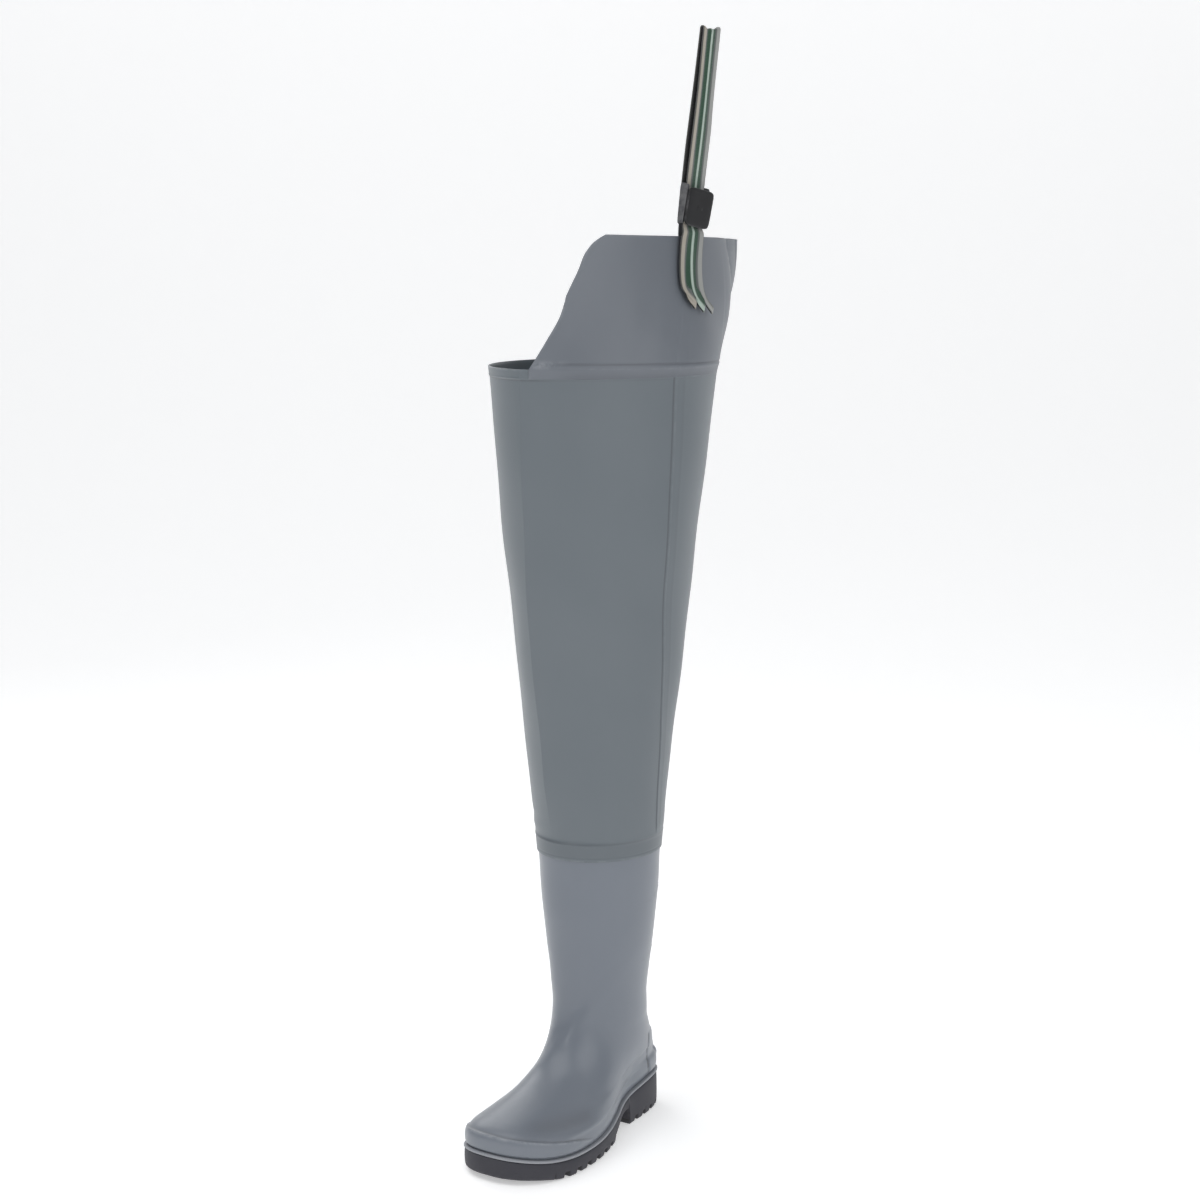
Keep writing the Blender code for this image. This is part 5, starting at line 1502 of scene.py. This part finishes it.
# %% Bars and rails
LEVER_LOW, LEVER_HIGH, LEVER_HALF, LEVER_THICK = 0.997, 1.036, 0.0228, 0.0038
RAIL_SHALLOW, RAIL_DEEP, RAIL_OUT, RAIL_HALF = 0.0070, 0.0105, 0.01985, 0.00165
BAR_HALF = 0.0190
BARS = ((0.0, LOW_BAR), (0.45, 0.60), (0.86, 1.0))


def soft_quad(corners, count=48, power=7.0):
    """A superellipse in the unit square stretched onto four (x, z) corners."""
    turn = np.arange(count) * 2 * math.pi / count
    s, t = ((np.sign(f) * np.abs(f) ** (2 / power) + 1) / 2 for f in (np.cos(turn), np.sin(turn)))
    s, t = s[:, None], t[:, None]
    a, b, c, d = np.asarray(corners, float)
    return a * (1 - s) * (1 - t) + b * s * (1 - t) + c * s * t + d * (1 - s) * t


def carried_across(line, low_y, high_y, soften=0.0005):
    """A closed (x, z) line carried along Y, its end rings stepped in, hung as the buckle is."""
    rings = []
    for y, inset in ((low_y, soften), (low_y + 0.3 * soften, 0.3 * soften), (low_y + soften, 0.0),
                     (high_y - soften, 0.0), (high_y - 0.3 * soften, 0.3 * soften), (high_y, soften)):
        x, z = grown(line, -inset).T
        lean = BUCKLE_LEAN * (z - BUCKLE_LOW - BUCKLE_TALL)
        rings.append(np.column_stack([x, y + lean, z - BUCKLE_ROLL * (y - BUCKLE_Y) - BUCKLE_DROP]))
    return np.array(rings)


# %% Buckle frame
plate_top = BUCKLE_LOW + BUCKLE_TALL
rail = soft_quad(((bar_back, BUCKLE_LOW), (bar_back + RAIL_SHALLOW, BUCKLE_LOW + 0.001),
                  (bar_back + RAIL_DEEP, plate_top - 0.002), (bar_back, plate_top)))
rail_places = (BUCKLE_Y - RAIL_OUT, BUCKLE_Y + RAIL_OUT)
bodies = [carried_across(rail, y - RAIL_HALF, y + RAIL_HALF) for y in rail_places]
for low_share, high_share in BARS:
    low_z, high_z = BUCKLE_LOW + low_share * BUCKLE_TALL, BUCKLE_LOW + high_share * BUCKLE_TALL
    bar = soft_quad(((bar_back, low_z), (bar_front, low_z), (bar_front, high_z), (bar_back, high_z)))
    bodies.append(carried_across(bar, BUCKLE_Y - BAR_HALF, BUCKLE_Y + BAR_HALF))
bodies = np.array(bodies)
count, rows, cols = bodies.shape[:3]
quads, row, col = grid_quads(rows, cols, False, True)
quads = np.concatenate([quads, end_caps(rows, cols)])
quads = np.concatenate([quads + k * rows * cols for k in range(count)])
rim = np.zeros((count, rows, cols)) + np.array([1.0, 0.7, 0.3, 0.3, 0.7, 1.0])[None, :, None]
plate = make_piece("buckle_plate", bodies, quads, None, rail_look, {"edge": rim})
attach(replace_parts(plate, "buckle_frame"), "root")

# %% [markdown]
# ## Thumb lever
# The lever is a plate with soft corners, dished for the thumb, narrower below and
# tilted outwards as it rises. One superellipse, stacked from back to front and
# bent by a small function, needs no modifier and stays closed. The rivet ring
# beside it is the frame's own solid, which only gets its metal.

# %% Thumb lever
def rounded_slab(name, low, high, power, look, shape, around=96, rows=26):
    """A soft box: superellipse rings stacked from back to front, closed in the middle, with a painted
    highlight line round its rim.
    """
    low, high = np.asarray(low), np.asarray(high)
    centre, half = (low + high) / 2, (high - low) / 2
    turn = np.arange(around) * 2 * math.pi / around
    outline_y, outline_z = (np.sign(f) * np.abs(f) ** (2 / power) for f in (np.cos(turn), np.sin(turn)))
    reach = np.sin(np.linspace(0.04, math.pi / 2, rows)) ** 0.6
    depth = np.cos(np.linspace(0.04, math.pi / 2, rows)) ** 0.35
    scale = np.concatenate([reach, reach[::-1][1:]])
    across = np.concatenate([-depth, depth[::-1][1:]])
    x = np.repeat(across[:, None], around, axis=1)
    x, y, z = shape(x, outline_y[None, :] * scale[:, None], outline_z[None, :] * scale[:, None])
    points = centre + half * np.stack([x, y, z], axis=2)
    # The edge mark round the rim paints a highlight line on the lever.
    rim = np.repeat(bump(scale, 0.985, 0.02)[:, None], around, axis=1)
    return solid_rings(name, points, look, {"edge": rim})


def lever_shape(x, y, z):
    """Narrower below, tilted off the plate above, leaning with the frame, dished for the thumb."""
    dish = 0.22 * bump(z, 0.1, 0.62) * bump(y, 0.0, 0.72) * (x > 0)
    ribs = 0.10 * (x > 0.5) * bump(z, 0.86, 0.05)
    tilt = (RAIL_DEEP - RAIL_SHALLOW) / 0.0019 * (z + 1) / 2 + 0.5 * y
    narrow = y * (0.94 + 0.06 * (z + 1) / 2)
    return x - dish + ribs + tilt, narrow - 0.184 + 0.145 * z, z - 0.16 * y


lever_back = bar_back + RAIL_SHALLOW + 0.0012
lever = rounded_slab("thumb_lever", (lever_back, BUCKLE_Y - LEVER_HALF, LEVER_LOW),
                     (lever_back + LEVER_THICK, BUCKLE_Y + LEVER_HALF, LEVER_HIGH), 7.0,
                     buckle_look, lever_shape)
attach(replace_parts(lever, "buckle_lever"), "root")

# %% Rivet ring
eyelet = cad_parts["eyelet"]
eyelet.data.materials.clear()
eyelet.data.materials.append(rivet_look)
print("rivet ring", [round(v, 4) for v in eyelet.dimensions])

# %% [markdown]
# ## Size of the dressed wader
# The dressed wader must stay within its CAD box, a little over at most. The
# last line prints the box of the visible pieces.

low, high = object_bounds()
print("visual box", [round(v, 4) for v in low], [round(v, 4) for v in high])
